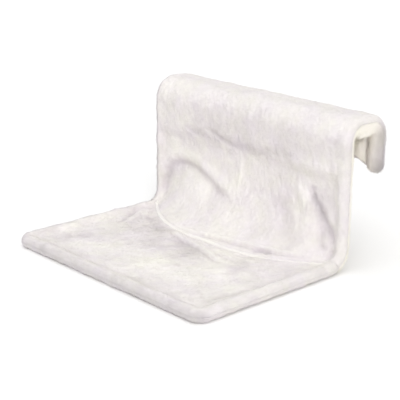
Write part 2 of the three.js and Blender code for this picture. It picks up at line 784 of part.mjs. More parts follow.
function addCover() {
  const seat = seatRows();
  const back = backRows();
  const sidePockets = [];
  const seatPockets = [];
  const rearPockets = [];
  for (const side of [-1, 1]) {
    const outward = ALONG_X.clone().multiplyScalar(side);
    for (const at of [BACK_CROSS, TOP_CROSS]) {
      sidePockets.push(headPocket(profilePoint(at).setX(side * TUBE_X), outward));
    }
    seatPockets.push(headPocket(profilePoint(SEAT_SCREW).setX(side * TUBE_X), DOWN));
    rearPockets.push(headPocket(profilePoint(UPRIGHT_SCREW).setX(side * TUBE_X), ALONG_Y));
  }
  addPiece("seat_top_plush", shell(seat, 1), "plush");
  addPiece("seat_base_plush", cutAll(shell(seat, -1), seatPockets), "plush");
  addPiece("back_front_plush", cutAll(shell(back, 1), sidePockets), "plush");
  addPiece("back_lining_plush", cutAll(shell(back, -1), [...sidePockets, ...rearPockets]), "lining");
  addPiece("seat_wadding", wadding(seat), "wadding");
  addPiece("back_wadding", wadding(back), "wadding");
  addPiece("heel_seam_piping", seamPiping(back), "plush");
}

// Closing flap, hinged on the hem between the hook's tips; its group sits on the hinge line

const LEG_Y = BACK_Y + HOOK_DEPTH;
const LINING_FACE_Y = LEG_Y + ROLL_R - 2 * PANEL_HALF;
const FLAP_FACE_Y = LINING_FACE_Y - 2 * STRIP_THICKNESS - 3 * FIT_GAP;
const HINGE_Z = TOP_Z - HOOK_DROP - HEM_DROP - FIT_GAP;

function strip(width, height, thickness) {
  return new THREE.BoxGeometry(width, thickness, height);
}

function flapPad() {
  const half = FLAP_WIDTH / 2;
  const outline = new THREE.Shape();
  outline.moveTo(-half, 0);
  outline.lineTo(half, 0);
  outline.lineTo(half, FLAP_HEIGHT - FLAP_ROUNDING);
  outline.absarc(half - FLAP_ROUNDING, FLAP_HEIGHT - FLAP_ROUNDING, FLAP_ROUNDING, 0, HALF_PI, false);
  outline.absarc(FLAP_ROUNDING - half, FLAP_HEIGHT - FLAP_ROUNDING, FLAP_ROUNDING, HALF_PI, Math.PI, false);
  outline.lineTo(-half, 0);
  const settings = { depth: PLUSH, bevelEnabled: false, curveSegments: BEND_STEPS };
  const geometry = new THREE.ExtrudeGeometry(outline, settings);
  geometry.rotateX(HALF_PI);
  return geometry;
}

function addFlap() {
  const flap = new THREE.Group();
  flap.position.set(0, FLAP_FACE_Y, HINGE_Z);
  bed.add(flap);
  const pad = addPiece("closure_flap", flapPad(), "plush", flap);
  pad.position.z = FIT_GAP;
  const stripZ = FLAP_HEIGHT - STRIP_FROM_TOP - STRIP_HEIGHT / 2;
  const hookStrip = addPiece("flap_hook_strip", strip(STRIP_WIDTH, STRIP_HEIGHT, STRIP_THICKNESS), "tape", flap);
  hookStrip.position.set(0, FIT_GAP + STRIP_THICKNESS / 2, stripZ);
  const loopStrip = addPiece("lining_loop_strip", strip(STRIP_WIDTH, STRIP_HEIGHT, STRIP_THICKNESS), "tape");
  loopStrip.position.set(0, LINING_FACE_Y - FIT_GAP - STRIP_THICKNESS / 2, HINGE_Z + stripZ);
  const tapeThickness = LINING_FACE_Y - FLAP_FACE_Y - 2 * FIT_GAP;
  const tape = addPiece("flap_seam_tape", strip(TAPE_WIDTH, TAPE_HEIGHT, tapeThickness), "tape");
  const tapeZ = TOP_Z - HOOK_DROP + FIT_GAP + TAPE_HEIGHT / 2;
  tape.position.set(0, FLAP_FACE_Y + FIT_GAP + tapeThickness / 2, tapeZ);
}

addFrame();
addCover();
addFlap();

export default bed;
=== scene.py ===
# Radiator cat bed in white plush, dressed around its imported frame. Metres; X across, Y to the rear, Z up.
import json
import math
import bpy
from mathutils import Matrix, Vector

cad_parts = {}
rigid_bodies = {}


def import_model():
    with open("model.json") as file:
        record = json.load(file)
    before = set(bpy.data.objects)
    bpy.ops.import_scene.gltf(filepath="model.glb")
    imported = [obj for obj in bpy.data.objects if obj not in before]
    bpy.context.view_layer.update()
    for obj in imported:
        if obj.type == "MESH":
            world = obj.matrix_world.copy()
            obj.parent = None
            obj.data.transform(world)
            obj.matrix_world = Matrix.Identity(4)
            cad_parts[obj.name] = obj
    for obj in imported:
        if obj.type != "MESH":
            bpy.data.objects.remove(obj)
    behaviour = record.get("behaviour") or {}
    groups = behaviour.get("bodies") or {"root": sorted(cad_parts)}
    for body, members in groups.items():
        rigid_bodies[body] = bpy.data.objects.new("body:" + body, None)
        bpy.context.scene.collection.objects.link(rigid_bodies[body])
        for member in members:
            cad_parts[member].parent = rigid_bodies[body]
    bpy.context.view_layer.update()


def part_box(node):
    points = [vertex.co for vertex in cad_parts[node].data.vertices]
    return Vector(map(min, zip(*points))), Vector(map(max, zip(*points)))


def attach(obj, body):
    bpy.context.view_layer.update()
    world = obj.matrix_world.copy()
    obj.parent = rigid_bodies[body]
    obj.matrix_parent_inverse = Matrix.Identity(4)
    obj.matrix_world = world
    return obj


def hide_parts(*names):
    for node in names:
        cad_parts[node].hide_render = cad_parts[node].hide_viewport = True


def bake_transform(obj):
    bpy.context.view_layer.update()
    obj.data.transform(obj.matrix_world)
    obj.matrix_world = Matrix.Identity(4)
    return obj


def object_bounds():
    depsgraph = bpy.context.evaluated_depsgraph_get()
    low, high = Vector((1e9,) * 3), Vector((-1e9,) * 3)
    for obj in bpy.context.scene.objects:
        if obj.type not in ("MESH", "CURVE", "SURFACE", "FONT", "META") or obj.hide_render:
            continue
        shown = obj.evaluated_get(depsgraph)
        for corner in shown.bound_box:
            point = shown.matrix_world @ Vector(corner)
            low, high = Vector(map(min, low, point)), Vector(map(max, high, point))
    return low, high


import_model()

from types import SimpleNamespace

import bpy
import numpy as np
from mathutils import Matrix, Vector

# Cover sizes
PLUSH = 0.0045
WADDING = 0.004
FIT_GAP = 0.0003
ROLL_BLEND = 0.012
HEEL_BEND_R = 0.032
HOOK_BEND_R = 0.027
MID_HEEL_R = 0.116
HEEL_FULLNESS = 3.2
SEAM_ANGLE = math.pi / 8
MID_SEAM_ANGLE = 0.2
BACK_TUBE_OFFSET = 0.034
TOP_TUBE_OFFSET = 0.012
RECESS_RUN = 0.034
SEAT_CROWN = 0.003
CORNER_EXTRA_R = 0.014
HEM_ROUND = 0.005
HEM_LIFT = 0.011
HEM_LIFT_AT = 0.048
HEM_LEVEL_AT = 0.095
LEAST_PLUSH = 0.0015
HEEL_EASE = 0.03

# How full the cover is at the ends of the hook, on its inner side
ROOF_PUFF = 0.0135
LEG_PUFF = 0.008
ROOF_PUFF_REACH = 0.045
LEG_PUFF_START = 0.0185
LEG_PUFF_REACH = 0.0295

# Grids, and lengths that count as nothing
GRID_STEP = 0.0016
ROLL_STEPS = 10
TIP_STEPS = 8
RIM_TOLERANCE = 1e-6
ROUNDING = 1e-9
LEAST_LENGTH = 1e-12

# Relief of the cloth
FOLD_RISE = 0.006
FOLD_WIDTH = 0.010
FOLD_LINE_STEPS = 6
FOLD_FADE_SHARES = (-0.02, 0.25)
LIP_AT = 1.9
LIP_SPREAD = 1.3
SEAM_DIP = 0.0026
SEAM_REACH = 0.007
PILE_RISE = 0.0009
PILE_STRETCH = 2.4
CLUMP_STRETCH = 1.8
CLUMP_SHARE = 0.9
STANDING_SHARE = 0.75
STANDING_SWING = 0.35
WAVE_RISE = 0.0012
ROLL_WAVE_SHARE = 0.35
LUMP_RISE = 0.0007
ROLL_LUMP_RISE = 0.0011
ROLL_FADE = 0.004
RIM_INSET = 0.0015
CREASE_WANDER = 0.003
RIM_FADE = 0.0012

# Sizes of the unevenness in the cloth
WAVE_SIZE = 0.075
STANDING_SIZE = 0.04
MOTTLE_SIZE = 0.03
CREASE_SIZE = 0.028
LUMP_SIZE = 0.026
PATCH_EDGE_SIZE = 0.022
ROLL_LUMP_SIZE = 0.019
SWELL_SIZE = 0.012
FINE_MOTTLE_SIZE = 0.011
CLUMP_SIZE = 0.009
TUFT_SIZE = 0.0042

# Shade painted on the cover's colour, and how far the painted shade of sides, folds and patches and the
# random mottle change it
USUAL_SHADE = 0.83
SIDE_SHADE_SHARES = {"front": 0.42, "left": 0.9, "right": 0.05, "leg": 0.5, "tip": 0.3}
SIDE_SHADE_POWER = 0.7
FRONT_FADE_SHARES = (0.4, 1.2)
CAVITY_SHADE = 0.3
CAVITY_DEPTH = 0.004
RIDGE_SHARE = 0.3
PATCH_SHADE = 0.15
PATCH_FADE_SHARES = (0.6, 1.35)
RAGGED_SHARES = (0.45, 0.3)
LINING_LEG_SHADE = 0.73
MOTTLE_SHADE = 0.1
FINE_MOTTLE = 0.8
BACK_MOTTLE_SHARE = 0.45

# Fuzz: short hairs that stand on the outer faces
FUZZ_LENGTH = 0.0026
FUZZ_RADIUS = 0.00008
FUZZ_PER_M2 = 90000
FUZZ_CHILDREN = 12
FUZZ_LEAN = 0.5
FUZZ_SPREAD = 0.0012
FUZZ_SPREAD_SIZE = 0.004

# Ways the pile is combed
NAP_SEAT = (0.75, 0.66, 0)
NAP_BACK = (0.25, 0, -1)
NAP_FLAP = (0.2, -0.4, 0.9)

# Wadding
WADDING_MARGIN = 0.002
QUILT_FILL = 0.8
QUILT_SHARE = 0.1

# Woven tape
TAPE_PUCKER = 0.0002
TAPE_ROWS = 7

# Seam welt: sizes, then shares
WELT_WIDTH = 0.0105
WELT_RISE = 0.003
WELT_ROWS = 15
STITCH_PITCH = 0.0042
STITCH_SHARE = 0.12
SWELL_SHARE = 0.15
WELT_FADE = 0.45
WELT_FADE_SHARES = (0.36, 0.6)
GROOVE_DEPTH = 0.55
GROOVE_WIDTH = 0.28
WELT_SINK_SHARE = 0.4

# Closing flap
FLAP_THICKNESS = 0.0055
FLAP_OVERHANG = 0.002
FLAP_HEM_ROLL = 0.013
FLAP_HEM_SETBACK = 0.003
FLAP_ROUNDING = 0.006
FLAP_END_RISE = 0.0095
FLAP_END_PUFF = 0.009
FLAP_ROW_SHARE = 1.4
FLAP_CURVE_SHARE = 0.93
FLAP_END_SHARE = 0.62
FLAP_HEM_SHARE = 0.3
FLAP_PAINTED_LIGHT = 0.2
FLAP_HEM_PAINTED_SHADE = 0.5

# Sizes in the materials
PILE_SIZE = 0.0011
FIBRE_SIZE = 0.002
FUZZ_TUFT_SIZE = 0.003
STREAK_SIZE = 0.006
HUE_SIZE = 0.035
TONE_SIZE = 0.05
THREAD_PITCH = 0.0008
STEEL_GRAIN = 0.0006
PLASTIC_GRAIN = 0.0005
ZINC_GRAIN = 0.0004
PILE_BUMP = 0.0008
WEAVE_BUMP = 0.0003
GRAIN_BUMP = 0.0002

# Floor
FLOOR_R = 30
FLOOR_DROP = 0.0004

# Camera, fitted to the outline of the bed in the photograph
CAMERA_PLACE = (1.297, -1.1861, 0.6491)
CAMERA_AZIMUTH = math.radians(47.35)
CAMERA_PITCH = math.radians(17.58)
CAMERA_ROLL = math.radians(0.35)
LENS_MM = 100.218
SENSOR_MM = 36.0
VIEW_REACH = 50

# Lamps: name, the way the light goes, strength, spread in degrees and colour
LAMPS = (
    ("overhead", (0.1, 0.1, -1), 0.96, 70, (1, 1, 1)),
    ("key", (-0.6, 0.48, -0.64), 0.75, 45, (1, 0.985, 0.96)),
    ("side_key", (-0.85, 0.46, -0.23), 0.6, 40, (1, 0.985, 0.955)),
    ("front_fill", (-0.05, 0.86, -0.5), 0.42, 60, (0.96, 0.98, 1)),
    ("rear_fill", (-0.09, -0.69, -0.73), 0.3, 60, (1, 1, 1)),
)
WORLD_STRENGTH = 0.48

# Sizes read from the frame
LOW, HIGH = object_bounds()


def node_centre(node):
    low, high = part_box(node)
    return (low + high) / 2


def node_width(node):
    low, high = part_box(node)
    return high.x - low.x


TUBE_R = node_width("left_hook_tube") / 2
CROSS_TUBE_R = (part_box("back_cross_tube")[1].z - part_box("back_cross_tube")[0].z) / 2
ROLL_R = TUBE_R + PLUSH
BORE_HALF = TUBE_R + FIT_GAP
BORE_R = BORE_HALF / math.cos(math.pi / 6)
CROSS_BORE = (CROSS_TUBE_R + FIT_GAP) * math.sqrt(2)
PANEL_HALF = WADDING / 2 + FIT_GAP + PLUSH
SLEEVE_EDGE = ROLL_R + BORE_R
PANEL_EDGE = SLEEVE_EDGE + ROLL_BLEND
CORNER_R = CORNER_EXTRA_R + ROLL_R
HALF_WIDTH = HIGH.x
FRONT_Y = LOW.y
SEAT_Z = node_centre("seat_front_tube").z
BACK_Y = node_centre("back_cross_tube").y
TOP_Z = node_centre("top_cross_tube").z
HOOK_DEPTH = node_centre("left_tip_cap").y - BACK_Y
HOOK_DROP = TOP_Z + FIT_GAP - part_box("left_tip_cap")[0].z


# Small helpers


def ease(value, start, end):
    share = np.clip((value - start) / (end - start), 0, 1)
    return share * share * (3 - 2 * share)


def mix(first, second, share):
    return first + (second - first) * share


def points_of(x, y, z):
    return np.stack(np.broadcast_arrays(x, y, z), axis=-1)


def circle(radius, offset):
    """Half the height of a circle at an offset from its middle."""
    return np.sqrt(np.maximum(radius**2 - offset**2, 0))


def unit(vectors):
    length = np.linalg.norm(vectors, axis=-1, keepdims=True)
    return vectors / np.maximum(length, LEAST_LENGTH)


# Repeatable noise on points

HASH_PRIMES = (374761393, 668265263, 2246822519, 3266489917)
WORD = 2**32


def cell_values(cells, seed):
    """A number from -1 to 1 for each whole-numbered cell."""
    mixed = np.full(cells.shape[:-1], seed * HASH_PRIMES[3] % WORD, np.uint64)
    for axis in range(3):
        index = (cells[..., axis].astype(np.int64) & (WORD - 1)).astype(np.uint64)
        mixed ^= index * HASH_PRIMES[axis] % WORD
        mixed ^= mixed >> 15
        mixed = mixed * HASH_PRIMES[2] % WORD
        mixed ^= mixed >> 13
    return mixed.astype(float) / (WORD / 2) - 1


def noise(points, size, seed):
    """Smooth noise from -1 to 1 whose bumps are about size across."""
    scaled = points / size
    base = np.floor(scaled)
    part = scaled - base
    part = part * part * (3 - 2 * part)
    total = 0
    for corner in np.ndindex(2, 2, 2):
        offset = np.array(corner)
        weight = np.prod(np.where(offset == 1, part, 1 - part), axis=-1)
        total = total + weight * cell_values(base + offset, seed)
    return total


def rough_noise(points, size, fine_size, fine_share, seed):
    """Noise with a share of a finer one on it."""
    return noise(points, size, seed) + fine_share * noise(points, fine_size, seed + 1)


def stretched(points, direction, stretch):
    """Points drawn together one way, so that noise on them runs long that way."""
    direction = unit(np.array(direction, float))
    along = points @ direction
    return points - along[..., None] * direction * (1 - 1 / stretch)


# Side profile: seat, heel, upright, hook and rear leg, walked from the front edge


def profile_legs(heel_r):
    quarter = math.pi / 2
    return [
        (BACK_Y - FRONT_Y - heel_r, None, 0),
        (heel_r * quarter, heel_r, 1),
        (TOP_Z - HOOK_BEND_R - SEAT_Z - heel_r, None, 0),
        (HOOK_BEND_R * quarter, HOOK_BEND_R, -1),
        (HOOK_DEPTH - 2 * HOOK_BEND_R, None, 0),
        (HOOK_BEND_R * quarter, HOOK_BEND_R, -1),
        (HOOK_DROP - HOOK_BEND_R + ROLL_R, None, 0),
    ]


def leg_start(heel_r, index):
    return sum(leg[0] for leg in profile_legs(heel_r)[:index])


def walk(heel_r, distance):
    """Place and normal on the profile, as arrays: y, z, normal y and normal z."""
    y = np.full_like(distance, FRONT_Y)
    z = np.full_like(distance, SEAT_Z)
    heading = np.zeros_like(distance)
    left = distance.copy()
    for length, radius, turn in profile_legs(heel_r):
        part = np.clip(left, 0, length)
        if turn:
            ahead = heading + turn * part / radius
            y += turn * radius * (np.sin(ahead) - np.sin(heading))
            z += turn * radius * (np.cos(heading) - np.cos(ahead))
            heading = ahead
        else:
            y += part * np.cos(heading)
            z += part * np.sin(heading)
        left = left - part
    return y, z, -np.sin(heading), np.cos(heading)


HOOK_ARC = HOOK_BEND_R * math.pi / 2
RECESS_END = -BACK_TUBE_OFFSET
RECESS_START = RECESS_END - RECESS_RUN
BACK_CROSS_AT = -BACK_TUBE_OFFSET
TOP_CROSS_AT = HOOK_ARC + TOP_TUBE_OFFSET
SECOND_BEND_AT = HOOK_ARC + HOOK_DEPTH - 2 * HOOK_BEND_R
LEG_AT = SECOND_BEND_AT + HOOK_ARC
TIP_AT = SECOND_BEND_AT + HOOK_ARC + HOOK_DROP - HOOK_BEND_R


def heel_radius(edge):
    reach = np.clip((HALF_WIDTH - edge) / (HALF_WIDTH - SLEEVE_EDGE), 0, 1)
    middle = np.where(edge <= SLEEVE_EDGE, 0, 1 - reach**HEEL_FULLNESS)
    return HEEL_BEND_R + (MID_HEEL_R - HEEL_BEND_R) * middle


def seam_at(heel_r):
    middle = (heel_r - HEEL_BEND_R) / (MID_HEEL_R - HEEL_BEND_R)
    return leg_start(heel_r, 1) + heel_r * mix(SEAM_ANGLE, MID_SEAM_ANGLE, middle)


# Thickness of the cover round the tubes and over the panels


def roll_height(edge):
    """Half the thickness over a tube sleeve's edge, and its fade into the panel."""
    across = ROLL_R - edge
    fade = np.clip(-across / (BORE_R + ROLL_BLEND), 0, 1)
    beyond = PANEL_HALF + (ROLL_R - PANEL_HALF) * (1 + np.cos(math.pi * fade)) / 2
    return np.where(across >= 0, circle(ROLL_R, across), beyond)


def over_edge(edge, panel, flush, flush_height):
    """Height over the roll, the blend and the panel; flush is 1 where the roll runs level on."""
    shaped = mix(roll_height(edge), panel, ease(edge, SLEEVE_EDGE - ROLL_BLEND / 2, PANEL_EDGE))
    level = np.where(edge > ROLL_R, flush_height, roll_height(edge))
    return mix(shaped, level, flush)


def lining_panel(hook_run):
    """Depth of the lining's face behind the tubes' centre line, eased along the hook."""
    clear = PANEL_HALF - (ROLL_R - PANEL_HALF)
    near_tube = (ROLL_R + PANEL_HALF) / 2
    places = [
        BACK_CROSS_AT + CROSS_BORE, 0, HOOK_ARC / 2,
        TOP_CROSS_AT - 2 * CROSS_BORE, TOP_CROSS_AT - CROSS_BORE, TOP_CROSS_AT,
        TOP_CROSS_AT + CROSS_BORE, TOP_CROSS_AT + 2 * CROSS_BORE,
    ]
    depths = [ROLL_R, PANEL_HALF, clear, clear, near_tube, ROLL_R, near_tube, clear]
    depth = depths[0]
    for k in range(len(places) - 1):
        depth = depth + (depths[k + 1] - depths[k]) * ease(hook_run, places[k], places[k + 1])
    return depth


# Grids of places: each has arrays of rows by columns


def roll_places():
    """Distances from the edge, in even steps round a roll's outer side."""
    turns = np.linspace(0, math.pi / 2, ROLL_STEPS + 1)[:-1]
    return ROLL_R * (1 - np.cos(turns))


def across_places():
    """Places across the bed: fine round the rolls, even over the panels, an odd number in all."""
    roll = roll_places()
    inside = HALF_WIDTH - ROLL_R
    count = 2 * round(inside / GRID_STEP) + 1
    panel = np.linspace(-inside, inside, count)
    return np.concatenate([roll - HALF_WIDTH, panel, HALF_WIDTH - roll[::-1]])


def round_corner(front, side):
    """Offsets from a square corner become offsets from a round one."""
    edge = np.minimum(front, side)
    far = np.maximum(front, side)
    turn = math.pi / 4 * (CORNER_R - far) / np.maximum(CORNER_R - edge, ROUNDING)
    radius = CORNER_R - edge
    near = CORNER_R - radius * np.cos(turn)
    along = CORNER_R - radius * np.sin(turn)
    bent = (far < CORNER_R) & (edge < CORNER_R)
    new_front = np.where(bent, np.where(front < side, near, along), front)
    new_side = np.where(bent, np.where(front < side, along, near), side)
    return new_front, new_side


def inset(edge):
    """Distances from the rim on the inner faces, which end a little inside the outer ones."""
    return edge + RIM_INSET * (1 - ease(edge, 0, 2 * RIM_INSET))


def grid_of(shape, **parts):
    return SimpleNamespace(**{name: np.broadcast_to(part, shape) for name, part in parts.items()})


def seat_grid():
    x = across_places()
    straight = np.linspace(ROLL_R, CORNER_R, round((CORNER_R - ROLL_R) / GRID_STEP) + 1)
    fronts = np.concatenate([roll_places(), straight])
    side = HALF_WIDTH - np.abs(x)
    heel_r = heel_radius(side)
    seam = seam_at(heel_r) - FIT_GAP / 2
    count = round((seam.mean() - CORNER_R) / GRID_STEP)
    count += (len(fronts) + count + 1) % 2
    shares = np.linspace(0, 1, count + 1)[1:]
    rows = np.concatenate([
        np.repeat(fronts[:, None], len(x), axis=1),
        CORNER_R + shares[:, None] * (seam - CORNER_R),
    ])
    side = np.broadcast_to(side, rows.shape)
    front, rounded = round_corner(rows, side)
    inner_front, inner_rounded = round_corner(inset(rows), inset(side))
    return grid_of(
        rows.shape,
        x=np.sign(x) * (HALF_WIDTH - rounded), distance=front,
        inner_x=np.sign(x) * (HALF_WIDTH - inner_rounded), inner_distance=inner_front,
        edge=np.minimum(rows, side), seam_gap=seam - rows, share=rows / seam,
        heel_r=heel_r, hook_run=-np.inf, tip=0.0, seat=1.0,
    )


def hem_lift(edge):
    """How much higher the hem of the rear leg runs beside the tips."""
    return HEM_LIFT * ease(edge, SLEEVE_EDGE, HEM_LIFT_AT) * (1 - ease(edge, HEM_LIFT_AT, HEM_LEVEL_AT))


def back_grid():
    x = across_places()
    side = HALF_WIDTH - np.abs(x)
    heel_r = heel_radius(side)
    seam = seam_at(heel_r) + FIT_GAP / 2
    hook = leg_start(heel_r, 3)
    low_count = round((hook + RECESS_START - seam).max() / GRID_STEP)
    shares = np.linspace(0, 1, low_count + 1)[:, None]
    low_rows = seam + shares * (hook + RECESS_START - seam)
    high_count = round((TIP_AT - RECESS_START) / GRID_STEP)
    high_count += (low_count + high_count + TIP_STEPS) % 2
    hem_at = TIP_AT - hem_lift(side)
    shares = np.linspace(0, 1, high_count + 1)[1:, None]
    high_rows = hook + mix(RECESS_START, hem_at, shares)
    tips = np.sin(np.linspace(0, math.pi / 2, TIP_STEPS + 1))[1:, None]
    reach = mix(circle(ROLL_R, ROLL_R - side), HEM_ROUND, ease(side, ROLL_R, PANEL_EDGE))
    tip_rows = hook + hem_at + tips * reach
    rows = np.concatenate([low_rows, high_rows, tip_rows])
    tip = np.concatenate([np.zeros((low_count + high_count + 1, 1)), tips])
    return grid_of(
        rows.shape,
        x=x, distance=rows,
        inner_x=np.sign(x) * (HALF_WIDTH - inset(side)), inner_distance=rows - RIM_INSET * tip**2,
        edge=side, seam_gap=rows - seam, share=(rows - seam) / (hook - seam),
        heel_r=heel_r, hook_run=rows - hook, tip=tip, seat=0.0,
    )


def rear_face(grid):
    """Depth of the flat rear or under face behind the tubes' centre line."""
    return mix(SEAT_Z, ROLL_R, ease(grid.seam_gap, 0, HEEL_EASE) * (1 - grid.seat))


def hook_puff(grid):
    """Extra depth of the lining at the hook's ends, under its roof and along its leg."""
    run = grid.hook_run
    round_side = circle(1, (1 - grid.edge / ROLL_R).clip(0, 1))
    roof = ease(run, HOOK_ARC / 4, HOOK_ARC) * (1 - ease(run, SECOND_BEND_AT, LEG_AT))
    leg = ease(run, SECOND_BEND_AT, LEG_AT)
    roof_fade = 1 - ease(grid.edge, SLEEVE_EDGE, ROOF_PUFF_REACH)
    flap_top = LEG_AT + TOP_Z - HOOK_BEND_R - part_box("closure_flap")[1].z
    beside_flap = ease(run, flap_top - 2 * FLAP_THICKNESS / 3, flap_top)
    leg_end = mix(ROOF_PUFF_REACH, LEG_PUFF_REACH, beside_flap)
    leg_fade = 1 - ease(grid.edge, LEG_PUFF_START, leg_end)
    return round_side * (ROOF_PUFF * roof * roof_fade + LEG_PUFF * leg * leg_fade)


def heights(grid):
    """Heights of the upper and the lower outer face off the tubes' centre line."""
    rear = rear_face(grid)
    run = grid.hook_run
    hooked = ease(run, RECESS_START, RECESS_END)
    panel_top = mix(2 * PANEL_HALF - rear, ROLL_R, hooked)
    crown = SEAT_CROWN * np.cos(math.pi / 2 * grid.x / HALF_WIDTH)
    crown = crown * ease(grid.edge, SLEEVE_EDGE, 3 * PANEL_EDGE) * ease(grid.seam_gap, 0, HEEL_EASE)
    panel_top = panel_top + crown * grid.seat
    spots = points_of(grid.x, grid.distance, grid.tip)
    wander = CREASE_WANDER * noise(spots, CREASE_SIZE, seed=81) * ease(grid.edge, ROLL_R, SLEEVE_EDGE)
    upper = over_edge(grid.edge + wander, panel_top, hooked, ROLL_R)
    lined = ease(run, BACK_CROSS_AT + CROSS_BORE, 0)
    panel_low = mix(rear, lining_panel(run), lined)
    lower = over_edge(grid.edge, panel_low, 1 - lined, rear)
    return upper, lower + hook_puff(grid)


def place(grid, height, inner=False):
    x, distance = (grid.inner_x, grid.inner_distance) if inner else (grid.x, grid.distance)
    y, z, normal_y, normal_z = walk(grid.heel_r, distance)
    return points_of(x, y + normal_y * height, z + normal_z * height)


def face_normals(points):
    """Unit normals of a grid of points, on the side that rows crossed with columns give."""
    down_rows = np.gradient(points, axis=0)
    along_row = np.gradient(points, axis=1)
    return unit(np.cross(along_row, down_rows))


def rounded_tip(grid, height, other):
    """Heights drawn together to the hem at the tips."""
    middle = (height - other) / 2
    return middle + (height - middle) * circle(1, grid.tip)


# Folds: rise, width, a line of places, and for some the rise of a lip and its side. Places are shares of
# half the bed's width and of the panel's run, the rest shares of FOLD_RISE and FOLD_WIDTH. A lip is a softer
# ridge on the left of its line, or on the right where its side is -1.

BACK_FOLD_SHARES = [
    (-0.65, 0.8, [
        (-0.97, 0.2), (-0.87, 0.39), (-0.76, 0.49), (-0.67, 0.52), (-0.51, 0.52), (-0.39, 0.48),
        (-0.28, 0.44), (-0.16, 0.4), (-0.04, 0.35)], 0.35, 1),
    (0.7, 2.4, [(-0.7, 0.34), (-0.5, 0.36), (-0.3, 0.29)]),
    (-0.5, 0.9, [(-0.93, 0.12), (-0.89, 0.28), (-0.8, 0.42)]),
    (0.3, 0.8, [(-0.86, 0.5), (-0.8, 0.62), (-0.72, 0.72)]),
    (-0.6, 0.85, [
        (0.64, 0.66), (0.67, 0.58), (0.7, 0.53), (0.75, 0.46), (0.8, 0.36), (0.84, 0.3),
        (0.89, 0.2)], 0.2, 1),
    (-0.4, 0.6, [(0.74, 0.36), (0.77, 0.29), (0.8, 0.2), (0.86, 0.11)]),
    (0.75, 1.1, [(0.53, 0.64), (0.6, 0.52), (0.66, 0.38), (0.72, 0.26)]),
    (-0.4, 1.6, [(0.39, 0.58), (0.43, 0.46), (0.5, 0.34), (0.6, 0.2), (0.68, 0.12)]),
    (0.3, 0.32, [(-0.04, 0.77), (-0.04, 0.66), (-0.045, 0.55), (-0.05, 0.46)]),
    (-0.4, 1.1, [
        (-0.74, 0.79), (-0.57, 0.8), (-0.32, 0.82), (-0.13, 0.8), (0.14, 0.81), (0.43, 0.83),
        (0.74, 0.85)]),
    (0.4, 1.3, [(0.45, 0.79), (0.65, 0.78), (0.88, 0.76)]),
    (0.2, 0.4, [(-0.52, 0.86), (-0.32, 0.82), (-0.2, 0.77), (0.0, 0.73)]),
    (0.3, 0.4, [(-0.69, 0.82), (-0.57, 0.79), (-0.44, 0.74)]),
    (-0.25, 0.4, [(-0.4, 0.87), (-0.22, 0.82), (-0.06, 0.79)]),
    (0.2, 0.4, [(0.1, 0.84), (0.25, 0.8), (0.45, 0.77)]),
    (0.5, 0.36, [(-0.5, 0.025), (-0.21, 0.045), (0.11, 0.09), (0.38, 0.11), (0.6, 0.095), (0.84, 0.07)]),
    (-0.45, 0.4, [(-0.3, 0.02), (-0.1, 0.035), (0.11, 0.06), (0.38, 0.075), (0.6, 0.062), (0.82, 0.045)]),
    (-0.5, 0.5, [(0.4, 0.04), (0.47, 0.07), (0.55, 0.05)]),
    (-0.5, 0.45, [(0.9, 0.02), (0.89, 0.08), (0.885, 0.16)]),
    (0.25, 0.3, [(0.8, 1.01), (0.87, 1.05), (0.93, 1.1)]),
    (-0.3, 0.35, [(0.83, 0.97), (0.9, 1.01), (0.95, 1.05)]),
]

SEAT_FOLD_SHARES = [
    (0.38, 0.48, [(-0.33, 0.965), (-0.2, 0.93), (0.07, 0.88), (0.29, 0.81), (0.46, 0.75)], -0.35, -1),
    (0.25, 0.3, [(-0.15, 0.97), (0.05, 0.94), (0.28, 0.9), (0.45, 0.84)]),
    (-0.4, 0.35, [(0.34, 0.93), (0.43, 0.95), (0.49, 0.99)]),
    (-0.35, 1.6, [(-0.16, 0.8), (-0.05, 0.83), (0.08, 0.76), (0.18, 0.68)]),
    (-0.35, 1.6, [(-0.8, 0.92), (-0.55, 0.9), (-0.3, 0.88)]),
    (-0.5, 0.5, [(-0.95, 0.87), (-0.84, 0.76), (-0.75, 0.66)], 0.3, 1),
    (0.3, 0.5, [(-0.92, 0.94), (-0.74, 0.87), (-0.56, 0.84)]),
    (-0.3, 0.8, [(0.61, 0.55), (0.57, 0.7), (0.52, 0.84)]),
    (-0.6, 0.42, [
        (0.81, 0.09), (0.83, 0.22), (0.845, 0.36), (0.87, 0.53), (0.89, 0.7), (0.9, 0.88), (0.9, 0.98)]),
    (-0.22, 1.1, [(-0.8, 0.24), (-0.74, 0.32), (-0.62, 0.37)]),
]


# Patches of painted light and shade: place across and along, half sizes across and along, and strength, all
# as shares

# On the seat they stand where the pile lies another way, painted as lighter and darker sheen
SEAT_PATCH_SHARES = [
    (-0.5, 0.8, 0.36, 0.15, -1),
    (-0.12, 0.74, 0.28, 0.15, -1),
    (0.14, 0.68, 0.18, 0.12, -0.9),
    (-0.78, 0.22, 0.13, 0.07, -0.9),
    (-0.72, 0.37, 0.1, 0.05, -0.6),
    (0.4, 0.84, 0.18, 0.06, -0.6),
    (0.1, 0.11, 0.5, 0.03, -0.4),
    (-0.4, 0.28, 0.28, 0.12, 0.8),
    (0.05, 0.36, 0.42, 0.13, 0.7),
    (0.48, 0.5, 0.22, 0.2, 0.6),
    (0.52, 0.9, 0.2, 0.06, 0.5),
]

# On the back they paint the shadow below the cross tube, shade in the right creases and along the top, and
# lighter places
BACK_PATCH_SHARES = [
    (-0.52, 0.34, 0.3, 0.1, 0.2),
    (-0.05, 0.62, 0.25, 0.14, 0.3),
    (0.05, 0.95, 1, 0.1, -0.8),
    (0.62, 0.5, 0.1, 0.2, 0.4),
    (0.4, 0.3, 0.16, 0.18, -0.4),
    (0.93, 0.6, 0.05, 0.5, 0.4),
    (0.3, 0.82, 0.4, 0.05, -0.5),
    (-0.55, 0.83, 0.14, 0.04, -0.7),
    (0.82, 0.25, 0.06, 0.1, -0.8),
    (0.75, 0.45, 0.1, 0.16, -1.2),
]


